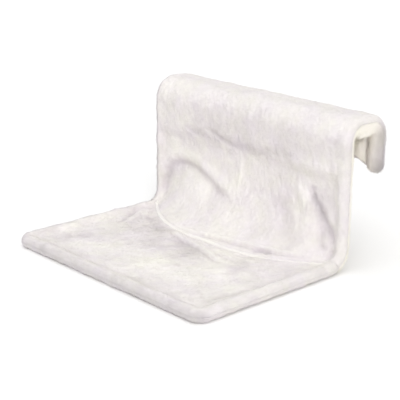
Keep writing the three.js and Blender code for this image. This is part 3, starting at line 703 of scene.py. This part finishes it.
def smooth_line(points):
    """Points of an even curve through the given ones."""
    points = np.array(points, float)
    padded = np.concatenate([2 * points[:1] - points[1:2], points, 2 * points[-1:] - points[-2:-1]])
    result = []
    for k in range(len(points) - 1):
        a, b, c, d = padded[k:k + 4]
        for t in np.arange(FOLD_LINE_STEPS) / FOLD_LINE_STEPS:
            square = 2 * a - 5 * b + 4 * c - d
            cube = 3 * b - a - 3 * c + d
            result.append((2 * b + (c - a) * t + square * t**2 + cube * t**3) / 2)
    result.append(points[-1])
    return np.array(result)


def spot_on(grid, points, across, share):
    """The point at a place across the bed and a share of the panel's run."""
    columns = grid.x[-1] / HALF_WIDTH
    column = np.interp(across, columns, np.arange(len(columns)))
    left = min(int(column), len(columns) - 2)
    row = np.interp(share, grid.share[:, left], np.arange(len(grid.share)))
    top = min(int(row), len(points) - 2)
    near = mix(points[top, left], points[top, left + 1], column - left)
    far = mix(points[top + 1, left], points[top + 1, left + 1], column - left)
    return mix(near, far, row - top)


def beside_line(points, normals, places):
    """Distances of points from a line, above zero on its left, and how far along it they lie."""
    best = np.full(len(points), np.inf)
    side = np.zeros(len(points))
    along = np.zeros(len(points))
    last = len(places) - 1
    for k in range(last):
        step = places[k + 1] - places[k]
        away = points - places[k]
        part = np.clip(away @ step / (step @ step), 0, 1)
        offset = away - part[:, None] * step
        distance = np.linalg.norm(offset, axis=1)
        left = np.cross(normals, step)
        closer = distance < best
        best[closer] = distance[closer]
        side[closer] = np.sign((offset * left).sum(1))[closer]
        along[closer] = (k + part[closer]) / last
    return best * side, along


def fold_relief(grid, points, normals, folds):
    total = np.zeros(points.shape[:-1])
    flat = points.reshape(-1, 3)
    flat_normals = normals.reshape(-1, 3)
    for rise, width_share, line, *lip in folds:
        lip_rise, lip_side = lip or (0, 1)
        places = np.array([spot_on(grid, points, *spot) for spot in smooth_line(line)])
        width = width_share * FOLD_WIDTH
        near = ((flat > places.min(0) - 4 * width) & (flat < places.max(0) + 4 * width)).all(-1)
        distance, along = beside_line(flat[near], flat_normals[near], places)
        ends = ease(along, *FOLD_FADE_SHARES) * ease(1 - along, *FOLD_FADE_SHARES)
        away = distance / width
        shape = rise * np.exp(-away**2)
        shape += lip_rise * np.exp(-((away - LIP_AT * lip_side) / LIP_SPREAD) ** 2)
        total.reshape(-1)[near] += FOLD_RISE * shape * ends
    return total


def soft_relief(points, seed):
    waves = noise(points, WAVE_SIZE, seed) * WAVE_RISE
    lumps = noise(points, LUMP_SIZE, seed + 1) * LUMP_RISE
    return waves + lumps


def roll_relief(grid, points, seed):
    on_roll = (1 - ease(grid.edge, ROLL_R, PANEL_EDGE)) * ease(grid.edge, -ROLL_FADE / 2, ROLL_FADE)
    return on_roll * ROLL_LUMP_RISE * rough_noise(points, ROLL_LUMP_SIZE, CLUMP_SIZE, 0.5, seed)


def pile_relief(points, nap, seed):
    """Tufts of the pile, which lie along the nap, in patches that stand more or less."""
    tufts = rough_noise(stretched(points, nap, PILE_STRETCH), TUFT_SIZE, TUFT_SIZE / 2, 0.5, seed)
    clumps = noise(stretched(points, nap, CLUMP_STRETCH), CLUMP_SIZE, seed + 2)
    standing = STANDING_SHARE + STANDING_SWING * noise(points, STANDING_SIZE, seed + 3)
    return PILE_RISE * standing * (tufts + CLUMP_SHARE * clumps)


# Meshes


def scene_object(name, data):
    made = bpy.data.objects.new(name, data)
    bpy.context.scene.collection.objects.link(made)
    return made


def mesh_object(name, points, faces, shade, flat_faces=0):
    """A mesh with smooth faces, of which the last ones may be flat."""
    mesh = bpy.data.meshes.new(name)
    points = np.asarray(points, np.float32).reshape(-1, 3)
    corners = np.concatenate([face.reshape(-1) for face in faces]).astype(np.int32)
    sizes = np.concatenate([np.full(len(face), face.shape[1]) for face in faces]).astype(np.int32)
    mesh.vertices.add(len(points))
    mesh.vertices.foreach_set("co", points.ravel())
    mesh.loops.add(len(corners))
    mesh.loops.foreach_set("vertex_index", corners)
    mesh.polygons.add(len(sizes))
    starts = np.concatenate([[0], np.cumsum(sizes)[:-1]]).astype(np.int32)
    mesh.polygons.foreach_set("loop_start", starts)
    mesh.polygons.foreach_set("loop_total", sizes)
    mesh.update(calc_edges=True)
    smooth = np.arange(len(mesh.polygons)) < len(mesh.polygons) - flat_faces
    mesh.polygons.foreach_set("use_smooth", smooth)
    colours = np.ones((len(corners), 4), np.float32)
    colours[:, :3] = np.clip(shade, 0, 1)[corners][:, None]
    mesh.color_attributes.new("shade", "BYTE_COLOR", "CORNER").data.foreach_set("color", colours.ravel())
    return scene_object(name, mesh)


def grid_faces(rows, columns, start=0):
    index = start + np.arange(rows * columns).reshape(rows, columns)
    corners = [index[:-1, :-1], index[:-1, 1:], index[1:, 1:], index[1:, :-1]]
    return np.stack(corners, axis=-1).reshape(-1, 4)


def rim(rows, columns, start=0):
    """Indices round a grid's edge, in the order of its faces."""
    index = start + np.arange(rows * columns).reshape(rows, columns)
    return np.concatenate([index[0, :-1], index[:-1, -1], index[-1, :0:-1], index[:0:-1, 0]])


def shell_object(name, outer, inner, flip, shade):
    """A closed body between a fine outer grid and an inner one with every second row and column."""
    coarse = inner[::2, ::2]
    outer_count = outer[..., 0].size
    outer_faces = grid_faces(*outer.shape[:2])
    inner_faces = grid_faces(*coarse.shape[:2], start=outer_count)[:, ::-1]
    outer_rim = rim(*outer.shape[:2])
    inner_rim = rim(*coarse.shape[:2], start=outer_count)
    next_inner = np.roll(inner_rim, -1)
    start, half, end = outer_rim[::2], outer_rim[1::2], np.roll(outer_rim[::2], -1)
    walls = np.concatenate([
        np.stack([half, start, inner_rim], axis=-1),
        np.stack([half, inner_rim, next_inner], axis=-1),
        np.stack([end, half, next_inner], axis=-1),
    ])
    faces = [outer_faces, inner_faces, walls]
    if flip:
        faces = [face[:, ::-1] for face in faces]
    points = np.concatenate([outer.reshape(-1, 3), coarse.reshape(-1, 3)])
    shades = np.concatenate([shade.ravel(), shade[::2, ::2].ravel()])
    return mesh_object(name, points, faces, shades, flat_faces=len(walls))


def slab_object(name, upper, lower, shade=1):
    """A closed body between two grids of the same size; the upper one's normals point outwards."""
    count = upper[..., 0].size
    upper_rim = rim(*upper.shape[:2])
    lower_rim = upper_rim + count
    walls = np.stack([upper_rim, lower_rim, np.roll(lower_rim, -1), np.roll(upper_rim, -1)], axis=-1)
    faces = [grid_faces(*upper.shape[:2]), grid_faces(*upper.shape[:2], start=count)[:, ::-1], walls]
    points = np.concatenate([upper.reshape(-1, 3), lower.reshape(-1, 3)])
    shades = np.tile(np.broadcast_to(shade, upper.shape[:2]).ravel(), 2)
    return mesh_object(name, points, faces, shades)


# Cover pieces


def inner_height(grid):
    """Half the room inside the cover, round the tubes and the wadding."""
    edge = grid.edge
    run = grid.hook_run
    touch = FIT_GAP / 2
    height = np.full(edge.shape, touch)
    height = np.maximum(height, circle(BORE_HALF, edge - ROLL_R))
    cross_half = CROSS_TUBE_R + FIT_GAP
    for at in (BACK_CROSS_AT, TOP_CROSS_AT):
        bore = circle(cross_half, np.where(np.isfinite(run), run - at, 1))
        height = np.maximum(height, np.where(edge > ROLL_R, bore, 0))
    padded = (edge > PANEL_EDGE) & (run < RECESS_START) & (grid.seam_gap > FIT_GAP)
    height = np.where(padded, WADDING / 2 + FIT_GAP, height)
    return np.where(grid.tip > 0, touch, height)


def middle_offset(grid):
    """Where the two shells meet between the faces, off the tubes' centre line."""
    rear = rear_face(grid)
    run = grid.hook_run
    hooked = ease(run, RECESS_START, RECESS_END)
    lifted = ease(run, 0, HOOK_ARC / 2)
    offset = mix(PANEL_HALF - rear, ROLL_R - PANEL_HALF, lifted) * np.maximum(1 - hooked, lifted)
    return np.where(grid.edge < SLEEVE_EDGE, 0, offset)


def side_shade(grid):
    """Painted shade: how much darker the cover is painted down its front and sides, and at the tips of the
    hook.
    """
    around = np.clip(1 - grid.edge / ROLL_R, 0, 1) ** SIDE_SHADE_POWER
    leg = ease(grid.hook_run, SECOND_BEND_AT, LEG_AT)
    fade_from, fade_to = (share * CORNER_R for share in FRONT_FADE_SHARES)
    front = grid.seat * (1 - ease(grid.distance, fade_from, fade_to))
    right = (grid.x > 0) * (1 - front)
    left = (grid.x < 0) * (1 - front)
    share = SIDE_SHADE_SHARES
    amount = share["front"] * front + share["left"] * left + mix(share["right"], share["leg"], leg) * right
    return amount * around + share["tip"] * ease(grid.hook_run, TIP_AT - CORNER_R, TIP_AT + ROLL_R)


def patch_shade(grid, points, patches):
    """Patches of painted light and shade with ragged edges; on the seat where the pile lies another way."""
    coarse, fine = RAGGED_SHARES
    ragged = coarse * noise(points, PATCH_EDGE_SIZE, seed=71) + fine * noise(points, CLUMP_SIZE, seed=72)
    total = 0
    for across, share, half_width, half_run, amount in patches:
        off_across = (grid.x / HALF_WIDTH - across) / half_width
        off_along = (grid.share - share) / half_run
        strength = amount * (1 - ease(np.hypot(off_across, off_along) + ragged, *PATCH_FADE_SHARES))
        total = np.where(np.abs(strength) > np.abs(total), strength, total)
    return PATCH_SHADE * total


def cover_shades(grid, points, rise, patches, seed):
    """Painted shades of the two faces; rise is what the folds and the seam add to the upper one."""
    # Painted shade in the folds and the seam's dip, and a little painted light on ridges
    cavity = np.clip(-rise / CAVITY_DEPTH, -RIDGE_SHARE, 1)
    sides = side_shade(grid)
    upper = USUAL_SHADE - CAVITY_SHADE * cavity - sides + patch_shade(grid, points, patches)
    mottle = rough_noise(points, MOTTLE_SIZE, FINE_MOTTLE_SIZE, FINE_MOTTLE, seed)
    upper = upper + MOTTLE_SHADE * mix(BACK_MOTTLE_SHARE, 1, grid.seat) * mottle
    # Painted light on the lining inside the hook, and painted shade on its rear leg
    lining = mix(1, LINING_LEG_SHADE, ease(grid.hook_run, SECOND_BEND_AT, LEG_AT))
    return upper, mix(lining, USUAL_SHADE, grid.seat) - sides


def cover_faces(grid, folds, patches, seed):
    """The cover's outer and inner points and its shades, above and below."""
    upper, lower = heights(grid)
    centre = middle_offset(grid)
    panel = ease(grid.edge, SLEEVE_EDGE, PANEL_EDGE)
    dip = SEAM_DIP * (1 - ease(grid.seam_gap, 0, SEAM_REACH)) * panel
    base = place(grid, upper)
    folded = fold_relief(grid, base, face_normals(base), folds) * ease(grid.edge, ROLL_R / 2, PANEL_EDGE)
    waves = soft_relief(base, seed) * mix(ROLL_WAVE_SHARE, 1, panel) * ease(grid.edge, 0, ROLL_R / 2)
    raised = upper + folded + waves - dip + roll_relief(grid, base, seed + 2)
    least = centre + FIT_GAP / 2 + LEAST_PLUSH
    raised = np.where(grid.edge > ROLL_R, np.maximum(raised, least), raised)
    centre = mix(centre, (raised - lower) / 2, ease(grid.tip, 0, 1))
    under = place(grid, -lower)
    sunk = lower + roll_relief(grid, under, seed + 3)
    sunk = sunk + soft_relief(under, seed + 4) * panel * (1 - grid.seat)
    pinched = (grid.edge < RIM_TOLERANCE) | (grid.tip > 1 - RIM_TOLERANCE)
    hollow = inner_height(grid)
    shade_up, shade_low = cover_shades(grid, base, folded - dip, patches, seed + 7)
    faces = {"shade_up": shade_up, "shade_low": shade_low}
    for half, side, height, other in (("up", 1, raised, sunk), ("low", -1, sunk, raised)):
        outer = np.where(pinched, side * centre, rounded_tip(grid, height, other))
        room = np.maximum(height - side * centre - LEAST_PLUSH, FIT_GAP / 2)
        faces["outer_" + half] = place(grid, side * outer)
        faces["inner_" + half] = place(grid, centre + side * np.minimum(hollow, room), inner=True)
    return faces


def add_fuzz(piece, outer_count, nap, seed):
    """Short hairs on the faces of the first outer_count vertices, combed along the nap."""
    group = piece.vertex_groups.new(name="outer_face")
    group.add(range(outer_count), 1, "REPLACE")
    area = sum(face.area for face in piece.data.polygons if face.vertices[0] < outer_count)
    system = piece.modifiers.new("fuzz", "PARTICLE_SYSTEM").particle_system
    system.vertex_group_density = "outer_face"
    system.seed = seed
    fuzz = system.settings
    fuzz.type = "HAIR"
    fuzz.use_advanced_hair = True
    fuzz.count = round(area * FUZZ_PER_M2)
    fuzz.hair_step = 3
    fuzz.render_step = 2
    fuzz.hair_length = FUZZ_LENGTH * (1 - FUZZ_LEAN / 2)
    fuzz.object_align_factor = [FUZZ_LENGTH * FUZZ_LEAN * part / 4 for part in nap]
    fuzz.factor_random = FUZZ_LENGTH / 8
    fuzz.child_type = "INTERPOLATED"
    fuzz.rendered_child_count = FUZZ_CHILDREN
    fuzz.child_length = 1
    fuzz.roughness_1 = FUZZ_SPREAD / 4
    fuzz.roughness_1_size = FUZZ_SPREAD_SIZE
    fuzz.roughness_2 = FUZZ_SPREAD
    fuzz.roughness_2_size = FUZZ_SPREAD_SIZE / 2
    fuzz.root_radius = 1
    fuzz.tip_radius = 0.35
    fuzz.radius_scale = FUZZ_RADIUS
    fuzz.material = 2


seat = seat_grid()
back = back_grid()
seat_faces = cover_faces(seat, SEAT_FOLD_SHARES, SEAT_PATCH_SHARES, seed=3)
back_faces = cover_faces(back, BACK_FOLD_SHARES, BACK_PATCH_SHARES, seed=5)


def cover_piece(name, grid, faces, half, nap, seed):
    """A shell of plush with its pile, kept above the floor."""
    side = 1 if half == "up" else -1
    points = faces["outer_" + half]
    rise = pile_relief(points, nap, seed) * (1 - grid.tip**4) * ease(grid.edge, 0, RIM_FADE)
    outer = points + face_normals(points) * side * rise[..., None]
    outer[..., 2] = np.maximum(outer[..., 2], 0)
    piece = shell_object(name, outer, faces["inner_" + half], side < 0, faces["shade_" + half])
    add_fuzz(piece, rise.size, nap, seed)
    return piece


def seam_welt():
    """A double welt laid on the heel's seam: two cords with a stitched groove between them."""
    row = seat_faces["outer_up"][-1]
    above = back_faces["outer_up"][0]
    on_panel = seat.edge[-1] > SLEEVE_EDGE
    middle = ((row + above) / 2)[on_panel]
    ahead = unit(above - seat_faces["outer_up"][-4])[on_panel]
    along = unit(np.gradient(middle, axis=0))
    normal = unit(np.cross(along, ahead))
    across = np.linspace(-1, 1, WELT_ROWS)
    stitches = 1 + STITCH_SHARE * np.sin(middle[:, 0] * 2 * math.pi / STITCH_PITCH)
    swell = 1 + SWELL_SHARE * noise(middle, SWELL_SIZE, seed=31)
    fade_from, fade_to = (share * HALF_WIDTH for share in WELT_FADE_SHARES)
    fade = 1 - WELT_FADE * ease(middle[:, 0], fade_from, fade_to)
    groove = 1 - GROOVE_DEPTH * np.exp(-((across / GROOVE_WIDTH) ** 2))
    hump = circle(1, across) * groove
    top = hump[:, None] * (WELT_RISE * stitches * swell * fade) + FIT_GAP
    bottom = np.zeros_like(top) - FIT_GAP / 2 - SEAM_DIP * WELT_SINK_SHARE
    width = across[:, None] * WELT_WIDTH / 2
    spread = middle + width[..., None] * ahead
    upper = spread + top[..., None] * normal
    return slab_object("plush_heel_welt", upper, spread + bottom[..., None] * normal)


def wadding_piece(name, grid, faces):
    middle = grid.x.shape[1] // 2
    gap, run = grid.seam_gap[:, middle], grid.hook_run[:, middle]
    rows = (gap > WADDING_MARGIN) & (run < RECESS_START - WADDING_MARGIN)
    if grid.seat[0, 0]:
        rows &= grid.distance[:, middle] > PANEL_EDGE
    columns = grid.edge[-1] > PANEL_EDGE
    picked = np.ix_(rows, columns)
    up = faces["inner_up"][picked][::2, ::2]
    low = faces["inner_low"][picked][::2, ::2]
    middle = (up + low) / 2
    half = (up - low) / 2
    length = np.linalg.norm(half, axis=-1, keepdims=True)
    quilt = QUILT_FILL + QUILT_SHARE * noise(middle, SWELL_SIZE, seed=41)[..., None]
    half = half / np.maximum(length, ROUNDING) * np.clip(length - FIT_GAP, FIT_GAP / 2, None) * quilt
    return slab_object(name, middle + half, middle - half)


def flap_piece():
    """The soft flap inside the hook: it stands up from the hem with rounded upper corners."""
    low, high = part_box("closure_flap")
    half_width = (high.x - low.x) / 2 + FLAP_OVERHANG
    columns = 2 * round(half_width / GRID_STEP) + 1
    turns = np.linspace(-1, 1, columns) * math.pi / 2 * FLAP_CURVE_SHARE
    x = np.sin(turns) / math.sin(math.pi / 2 * FLAP_CURVE_SHARE) * half_width
    side = half_width - np.abs(x)
    rows = round(FLAP_ROW_SHARE * (high.z - low.z) / GRID_STEP)
    share = (1 - np.cos(np.linspace(0, 1, rows) * math.pi)) / 2
    bottom = low.z + hem_lift(HALF_WIDTH - np.abs(x))
    corner = np.clip(FLAP_ROUNDING - side, 0, FLAP_ROUNDING)
    ends = ease(np.abs(x), FLAP_END_SHARE * half_width, half_width)
    top = high.z + FLAP_END_RISE * ends - FLAP_ROUNDING + circle(FLAP_ROUNDING, corner)
    z = mix(bottom, top, share[:, None])
    half_thick = FLAP_THICKNESS / 2
    to_rim = np.minimum(np.minimum(side, top - z), z - bottom)
    round_share = circle(1, 1 - np.clip(to_rim / half_thick, 0, 1))
    points = points_of(x, 0, z)
    rolled = 1 - ease(z - bottom, 0, FLAP_HEM_ROLL)
    puff = ends * np.sqrt(np.clip(side / FLAP_END_PUFF, 0, 1)) * ease(top - z, 0, FLAP_HEM_ROLL)
    middle = high.y - half_thick + FLAP_HEM_SETBACK * rolled
    front = middle - (half_thick + FLAP_END_PUFF * puff) * round_share * mix(1, FLAP_HEM_SHARE, rolled)
    front = front - WAVE_RISE * noise(points, MOTTLE_SIZE, seed=51) * round_share
    front = front - pile_relief(points, NAP_BACK, seed=53) * round_share
    rear = middle + half_thick * round_share
    # Painted light on the flap's face and painted shade on its rolled hem
    shade = USUAL_SHADE + FLAP_PAINTED_LIGHT * (1 - rolled) - FLAP_HEM_PAINTED_SHADE * rolled
    front_points, rear_points = points_of(x, front - FIT_GAP / 2, z), points_of(x, rear + FIT_GAP / 2, z)
    piece = slab_object("closing_flap", front_points, rear_points, shade)
    add_fuzz(piece, 2 * z.size, NAP_FLAP, seed=19)
    return piece


def seam_tape():
    """The woven tape that joins the flap to the lining, along the hem."""
    low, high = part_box("flap_seam_tape")
    x = np.linspace(low.x, high.x, 2 * round(high.x / GRID_STEP / 2) + 1)
    height = np.linspace(0, high.z - low.z, TAPE_ROWS)[:, None]
    z = low.z + height + hem_lift(HALF_WIDTH - np.abs(x))
    pucker = TAPE_PUCKER * noise(points_of(x, 0, z), CLUMP_SIZE, seed=61)
    front = points_of(x, low.y + pucker + FIT_GAP, z)
    return slab_object("woven_seam_tape", front, points_of(x, high.y + pucker - FIT_GAP, z))


# Materials


def new_material(name):
    material = bpy.data.materials.new(name)
    material.use_nodes = True
    tree = material.node_tree
    return material, tree, tree.nodes["Principled BSDF"]


def set_inputs(node, values):
    """Outputs of other nodes are linked, and all else is set."""
    for key, value in values.items():
        if isinstance(value, bpy.types.NodeSocket):
            node.id_data.links.new(value, node.inputs[key])
        else:
            node.inputs[key].default_value = value


def add_node(tree, kind, values=None, **settings):
    made = tree.nodes.new("ShaderNode" + kind)
    for key, value in settings.items():
        setattr(made, key, value)
    set_inputs(made, values or {})
    return made


def place_vector(tree, scale=(1, 1, 1), turn=(0, 0, 0)):
    place = add_node(tree, "TexCoord").outputs["Object"]
    values = {"Vector": place, "Scale": scale, "Rotation": turn}
    return add_node(tree, "Mapping", values).outputs["Vector"]


def noise_at(tree, vector, size, detail, roughness=0.55):
    values = {"Vector": vector, "Scale": 1 / size, "Detail": detail, "Roughness": roughness}
    return add_node(tree, "TexNoise", values).outputs["Fac"]


def ramp(tree, value, stops):
    made = add_node(tree, "ValToRGB", {"Fac": value})
    while len(made.color_ramp.elements) < len(stops):
        made.color_ramp.elements.new(0.5)
    for element, (at, colour) in zip(made.color_ramp.elements, stops):
        element.position = at
        element.color = (*colour, 1)
    return made.outputs["Color"]


def soft_ramp(tree, value, low, high):
    return ramp(tree, value, [(0.3, low), (0.7, high)])


def grey_ramp(tree, value, low, high):
    return soft_ramp(tree, value, (low,) * 3, (high,) * 3)


def combine(tree, operation, first, second):
    return add_node(tree, "Math", {0: first, 1: second}, operation=operation).outputs[0]


def multiply_colours(tree, first, second):
    values = {"Factor": 1, 6: first, 7: second}
    return add_node(tree, "Mix", values, data_type="RGBA", blend_type="MULTIPLY").outputs[2]


def painted_shade_colour(tree):
    """The mesh's painted shade as a colour: painted shade turns the pile a little violet."""
    shade = add_node(tree, "Attribute", attribute_name="shade")
    stops = [(0.0, (0.5, 0.48, 0.5)), (0.65, (0.865, 0.845, 0.86)), (1.0, (1, 0.998, 0.985))]
    return ramp(tree, shade.outputs["Fac"], stops)


def tinted(tree, colour):
    """A colour whose hue drifts slowly, darkened by the mesh's painted shade."""
    drift = noise_at(tree, place_vector(tree), HUE_SIZE, 2)
    hue = ramp(tree, drift, [(0.35, (1, 0.985, 1)), (0.65, (1, 1, 0.965))])
    return multiply_colours(tree, multiply_colours(tree, colour, hue), painted_shade_colour(tree))


def bump(tree, height, strength, distance):
    values = {"Height": height, "Strength": strength, "Distance": distance}
    return add_node(tree, "Bump", values).outputs["Normal"]


def plush_material(name, light, shade, turn, pile_size=PILE_SIZE):
    material, tree, shader = new_material(name)
    combed = place_vector(tree, (1, 0.35, 1), turn)
    pile = noise_at(tree, combed, pile_size, 4)
    streaks = noise_at(tree, combed, STREAK_SIZE, 3)
    patches = noise_at(tree, place_vector(tree), TONE_SIZE, 2)
    tone = combine(tree, "ADD", combine(tree, "MULTIPLY", streaks, 0.6), patches)
    tone = combine(tree, "ADD", combine(tree, "MULTIPLY", pile, 0.5), tone)
    colour = soft_ramp(tree, combine(tree, "MULTIPLY", tone, 0.48), shade, light)
    set_inputs(shader, {
        "Base Color": tinted(tree, colour), "Roughness": grey_ramp(tree, streaks, 0.62, 0.9),
        "Normal": bump(tree, pile, 0.6, PILE_BUMP), "Sheen Weight": 0.3, "Sheen Roughness": 0.45,
        "Specular IOR Level": 0.25,
    })
    return material


def weave_material(name, colour):
    material, tree, shader = new_material(name)
    vector = place_vector(tree)
    threads = []
    for direction in ("X", "Z"):
        values = {"Vector": vector, "Scale": 1 / THREAD_PITCH / 6, "Distortion": 0.6, "Detail": 1.0}
        wave = add_node(tree, "TexWave", values, bands_direction=direction)
        threads.append(wave.outputs["Fac"])
    woven = combine(tree, "MULTIPLY", *threads)
    tones = [(0.0, tuple(0.8 * part for part in colour)), (1.0, colour)]
    normal = bump(tree, woven, 0.5, WEAVE_BUMP)
    set_inputs(shader, {"Base Color": ramp(tree, woven, tones), "Roughness": 0.85, "Normal": normal})
    return material


def speckled_material(name, dark, light, grain, roughness, metal, strength):
    material, tree, shader = new_material(name)
    vector = place_vector(tree)
    fine = noise_at(tree, vector, grain, 4)
    cloud = noise_at(tree, vector, 12 * grain, 2)
    set_inputs(shader, {
        "Base Color": soft_ramp(tree, cloud, dark, light), "Metallic": metal,
        "Roughness": grey_ramp(tree, fine, *roughness), "Normal": bump(tree, fine, strength, GRAIN_BUMP),
    })
    return material


def fuzz_material(name, light, shade):
    """Hairs let about half of the light through."""
    material, tree, shader = new_material(name)
    tree.nodes.remove(shader)
    tufts = noise_at(tree, place_vector(tree), FUZZ_TUFT_SIZE, 4, 0.7)
    colour = tinted(tree, ramp(tree, tufts, [(0.42, shade), (0.56, light)]))
    front = add_node(tree, "BsdfDiffuse", {"Color": colour}).outputs[0]
    through = add_node(tree, "BsdfTranslucent", {"Color": colour}).outputs[0]
    both = add_node(tree, "MixShader", {"Fac": 0.5, 1: front, 2: through})
    set_inputs(tree.nodes["Material Output"], {"Surface": both.outputs[0]})
    return material


def set_material(piece, *materials):
    piece.data.materials.clear()
    for material in materials:
        piece.data.materials.append(material)


SEAT_TURN = (0, 0, math.radians(41))
UPRIGHT_TURN = (math.radians(90), 0, 0)
PLUSH_SEAT = plush_material("white_plush_seat", (0.93, 0.915, 0.905), (0.8, 0.785, 0.78), SEAT_TURN)
PLUSH_BACK = plush_material("white_plush_back", (0.92, 0.9, 0.895), (0.8, 0.78, 0.78), UPRIGHT_TURN)
# The lining's warm white is drawn lighter than the cover's, as painted light for the shaded inside of the
# hook
PLUSH_LINING = plush_material("plush_lining", (0.96, 0.935, 0.89), (0.88, 0.855, 0.815), UPRIGHT_TURN)
WHITE_FUZZ = fuzz_material("white_fuzz", (1, 0.993, 0.98), (0.83, 0.82, 0.825))
LINING_FUZZ = fuzz_material("lining_fuzz", (1, 0.985, 0.95), (0.92, 0.9, 0.86))
WADDING_FIBRE = plush_material("wadding_fibre", (0.9, 0.9, 0.89), (0.8, 0.8, 0.79), (0, 0, 0), FIBRE_SIZE)
TAPE = weave_material("woven_tape", (0.84, 0.83, 0.81))
STEEL = speckled_material(
    "powder_coated_steel", (0.62, 0.63, 0.65), (0.7, 0.71, 0.73), STEEL_GRAIN, (0.35, 0.5), 0, 0.35)
ZINC = speckled_material(
    "zinc_plate", (0.6, 0.62, 0.64), (0.75, 0.77, 0.78), ZINC_GRAIN, (0.22, 0.42), 1, 0.2)
PLASTIC = speckled_material(
    "black_plastic", (0.03, 0.03, 0.033), (0.05, 0.05, 0.055), PLASTIC_GRAIN, (0.4, 0.6), 0, 0.3)


def dress(piece, node, material, body="bed"):
    fuzz = [LINING_FUZZ if material == PLUSH_LINING else WHITE_FUZZ] if piece.particle_systems else []
    set_material(piece, material, *fuzz)
    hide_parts(node)
    if body:
        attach(piece, body)
    return piece


def dress_cover(grid, faces, nap, seed, halves):
    """Two sheets of plush; halves tells the node, side, material and slot of each; the slot is not used."""
    for node, half, material, slot in halves:
        piece = cover_piece("cover_" + node, grid, faces, half, nap, seed)
        dress(piece, node, material)


def dress_soft_parts():
    dress(seam_welt(), "heel_seam_piping", PLUSH_SEAT)
    for node, grid, faces in (("seat_wadding", seat, seat_faces), ("back_wadding", back, back_faces)):
        pad = dress(wadding_piece(node + "_pad", grid, faces), node, WADDING_FIBRE)
    dress(seam_tape(), "flap_seam_tape", TAPE)
    flap = dress(flap_piece(), "closure_flap", PLUSH_LINING, body=None)
    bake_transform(flap)


def dress_frame():
    """Finishes of the solids that are kept, by the ends of their names."""
    finishes = {"tube": STEEL, "screw": ZINC, "bolt": ZINC, "insert": ZINC, "cap": PLASTIC, "strip": TAPE}
    for solid in bpy.data.objects:
        ending = solid.name.split("_")[-1]
        if ending in finishes:
            set_material(solid, finishes[ending])


dress_cover(seat, seat_faces, NAP_SEAT, 13, (
    ("seat_top_plush", "up", PLUSH_SEAT, "white_plush"),
    ("seat_base_plush", "low", PLUSH_SEAT, "white_plush"),
))
dress_cover(back, back_faces, NAP_BACK, 16, (
    ("back_front_plush", "up", PLUSH_BACK, "white_plush"),
    ("back_lining_plush", "low", PLUSH_LINING, "plush_lining"),
))
dress_soft_parts()
dress_frame()


# Floor, light and camera


def floor():
    bpy.ops.mesh.primitive_circle_add(
        vertices=96, radius=FLOOR_R, fill_type="NGON", location=(0, 0, -FLOOR_DROP))
    ground = bpy.context.object
    ground.name = "floor"
    material, _, shader = new_material("floor_paper")
    set_inputs(shader, {"Base Color": (0.98, 0.98, 0.98, 1), "Roughness": 0.95})
    set_material(ground, material)


def soft_sun(name, towards, strength, spread, colour):
    data = bpy.data.lights.new(name, "SUN")
    data.energy = strength
    data.angle = math.radians(spread)
    data.color = colour
    lamp = scene_object(name, data)
    lamp.rotation_euler = Vector(towards).to_track_quat("-Z", "Y").to_euler()


def world_light():
    world = bpy.data.worlds.new("studio")
    world.use_nodes = True
    set_inputs(world.node_tree.nodes["Background"], {"Color": (1, 1, 1, 1), "Strength": WORLD_STRENGTH})
    bpy.context.scene.world = world


def photo_camera():
    data = bpy.data.cameras.new("photo_camera")
    data.sensor_width = SENSOR_MM
    data.lens = LENS_MM
    data.clip_end = VIEW_REACH
    camera = scene_object("photo_camera", data)
    across, ahead = math.cos(CAMERA_AZIMUTH), math.sin(CAMERA_AZIMUTH)
    level = math.cos(CAMERA_PITCH)
    forward = Vector((-ahead * level, across * level, -math.sin(CAMERA_PITCH)))
    right = Vector((across, ahead, 0))
    up = right.cross(forward)
    main, rest = math.cos(CAMERA_ROLL), math.sin(CAMERA_ROLL)
    rolled_right = main * right + rest * up
    rolled_up = main * up - rest * right
    turn = Matrix((rolled_right, rolled_up, -forward)).transposed()
    camera.matrix_world = Matrix.Translation(CAMERA_PLACE) @ turn.to_4x4()
    bpy.context.scene.camera = camera


floor()
world_light()
for lamp in LAMPS:
    soft_sun(*lamp)
photo_camera()
bpy.context.scene.view_settings.view_transform = "Standard"
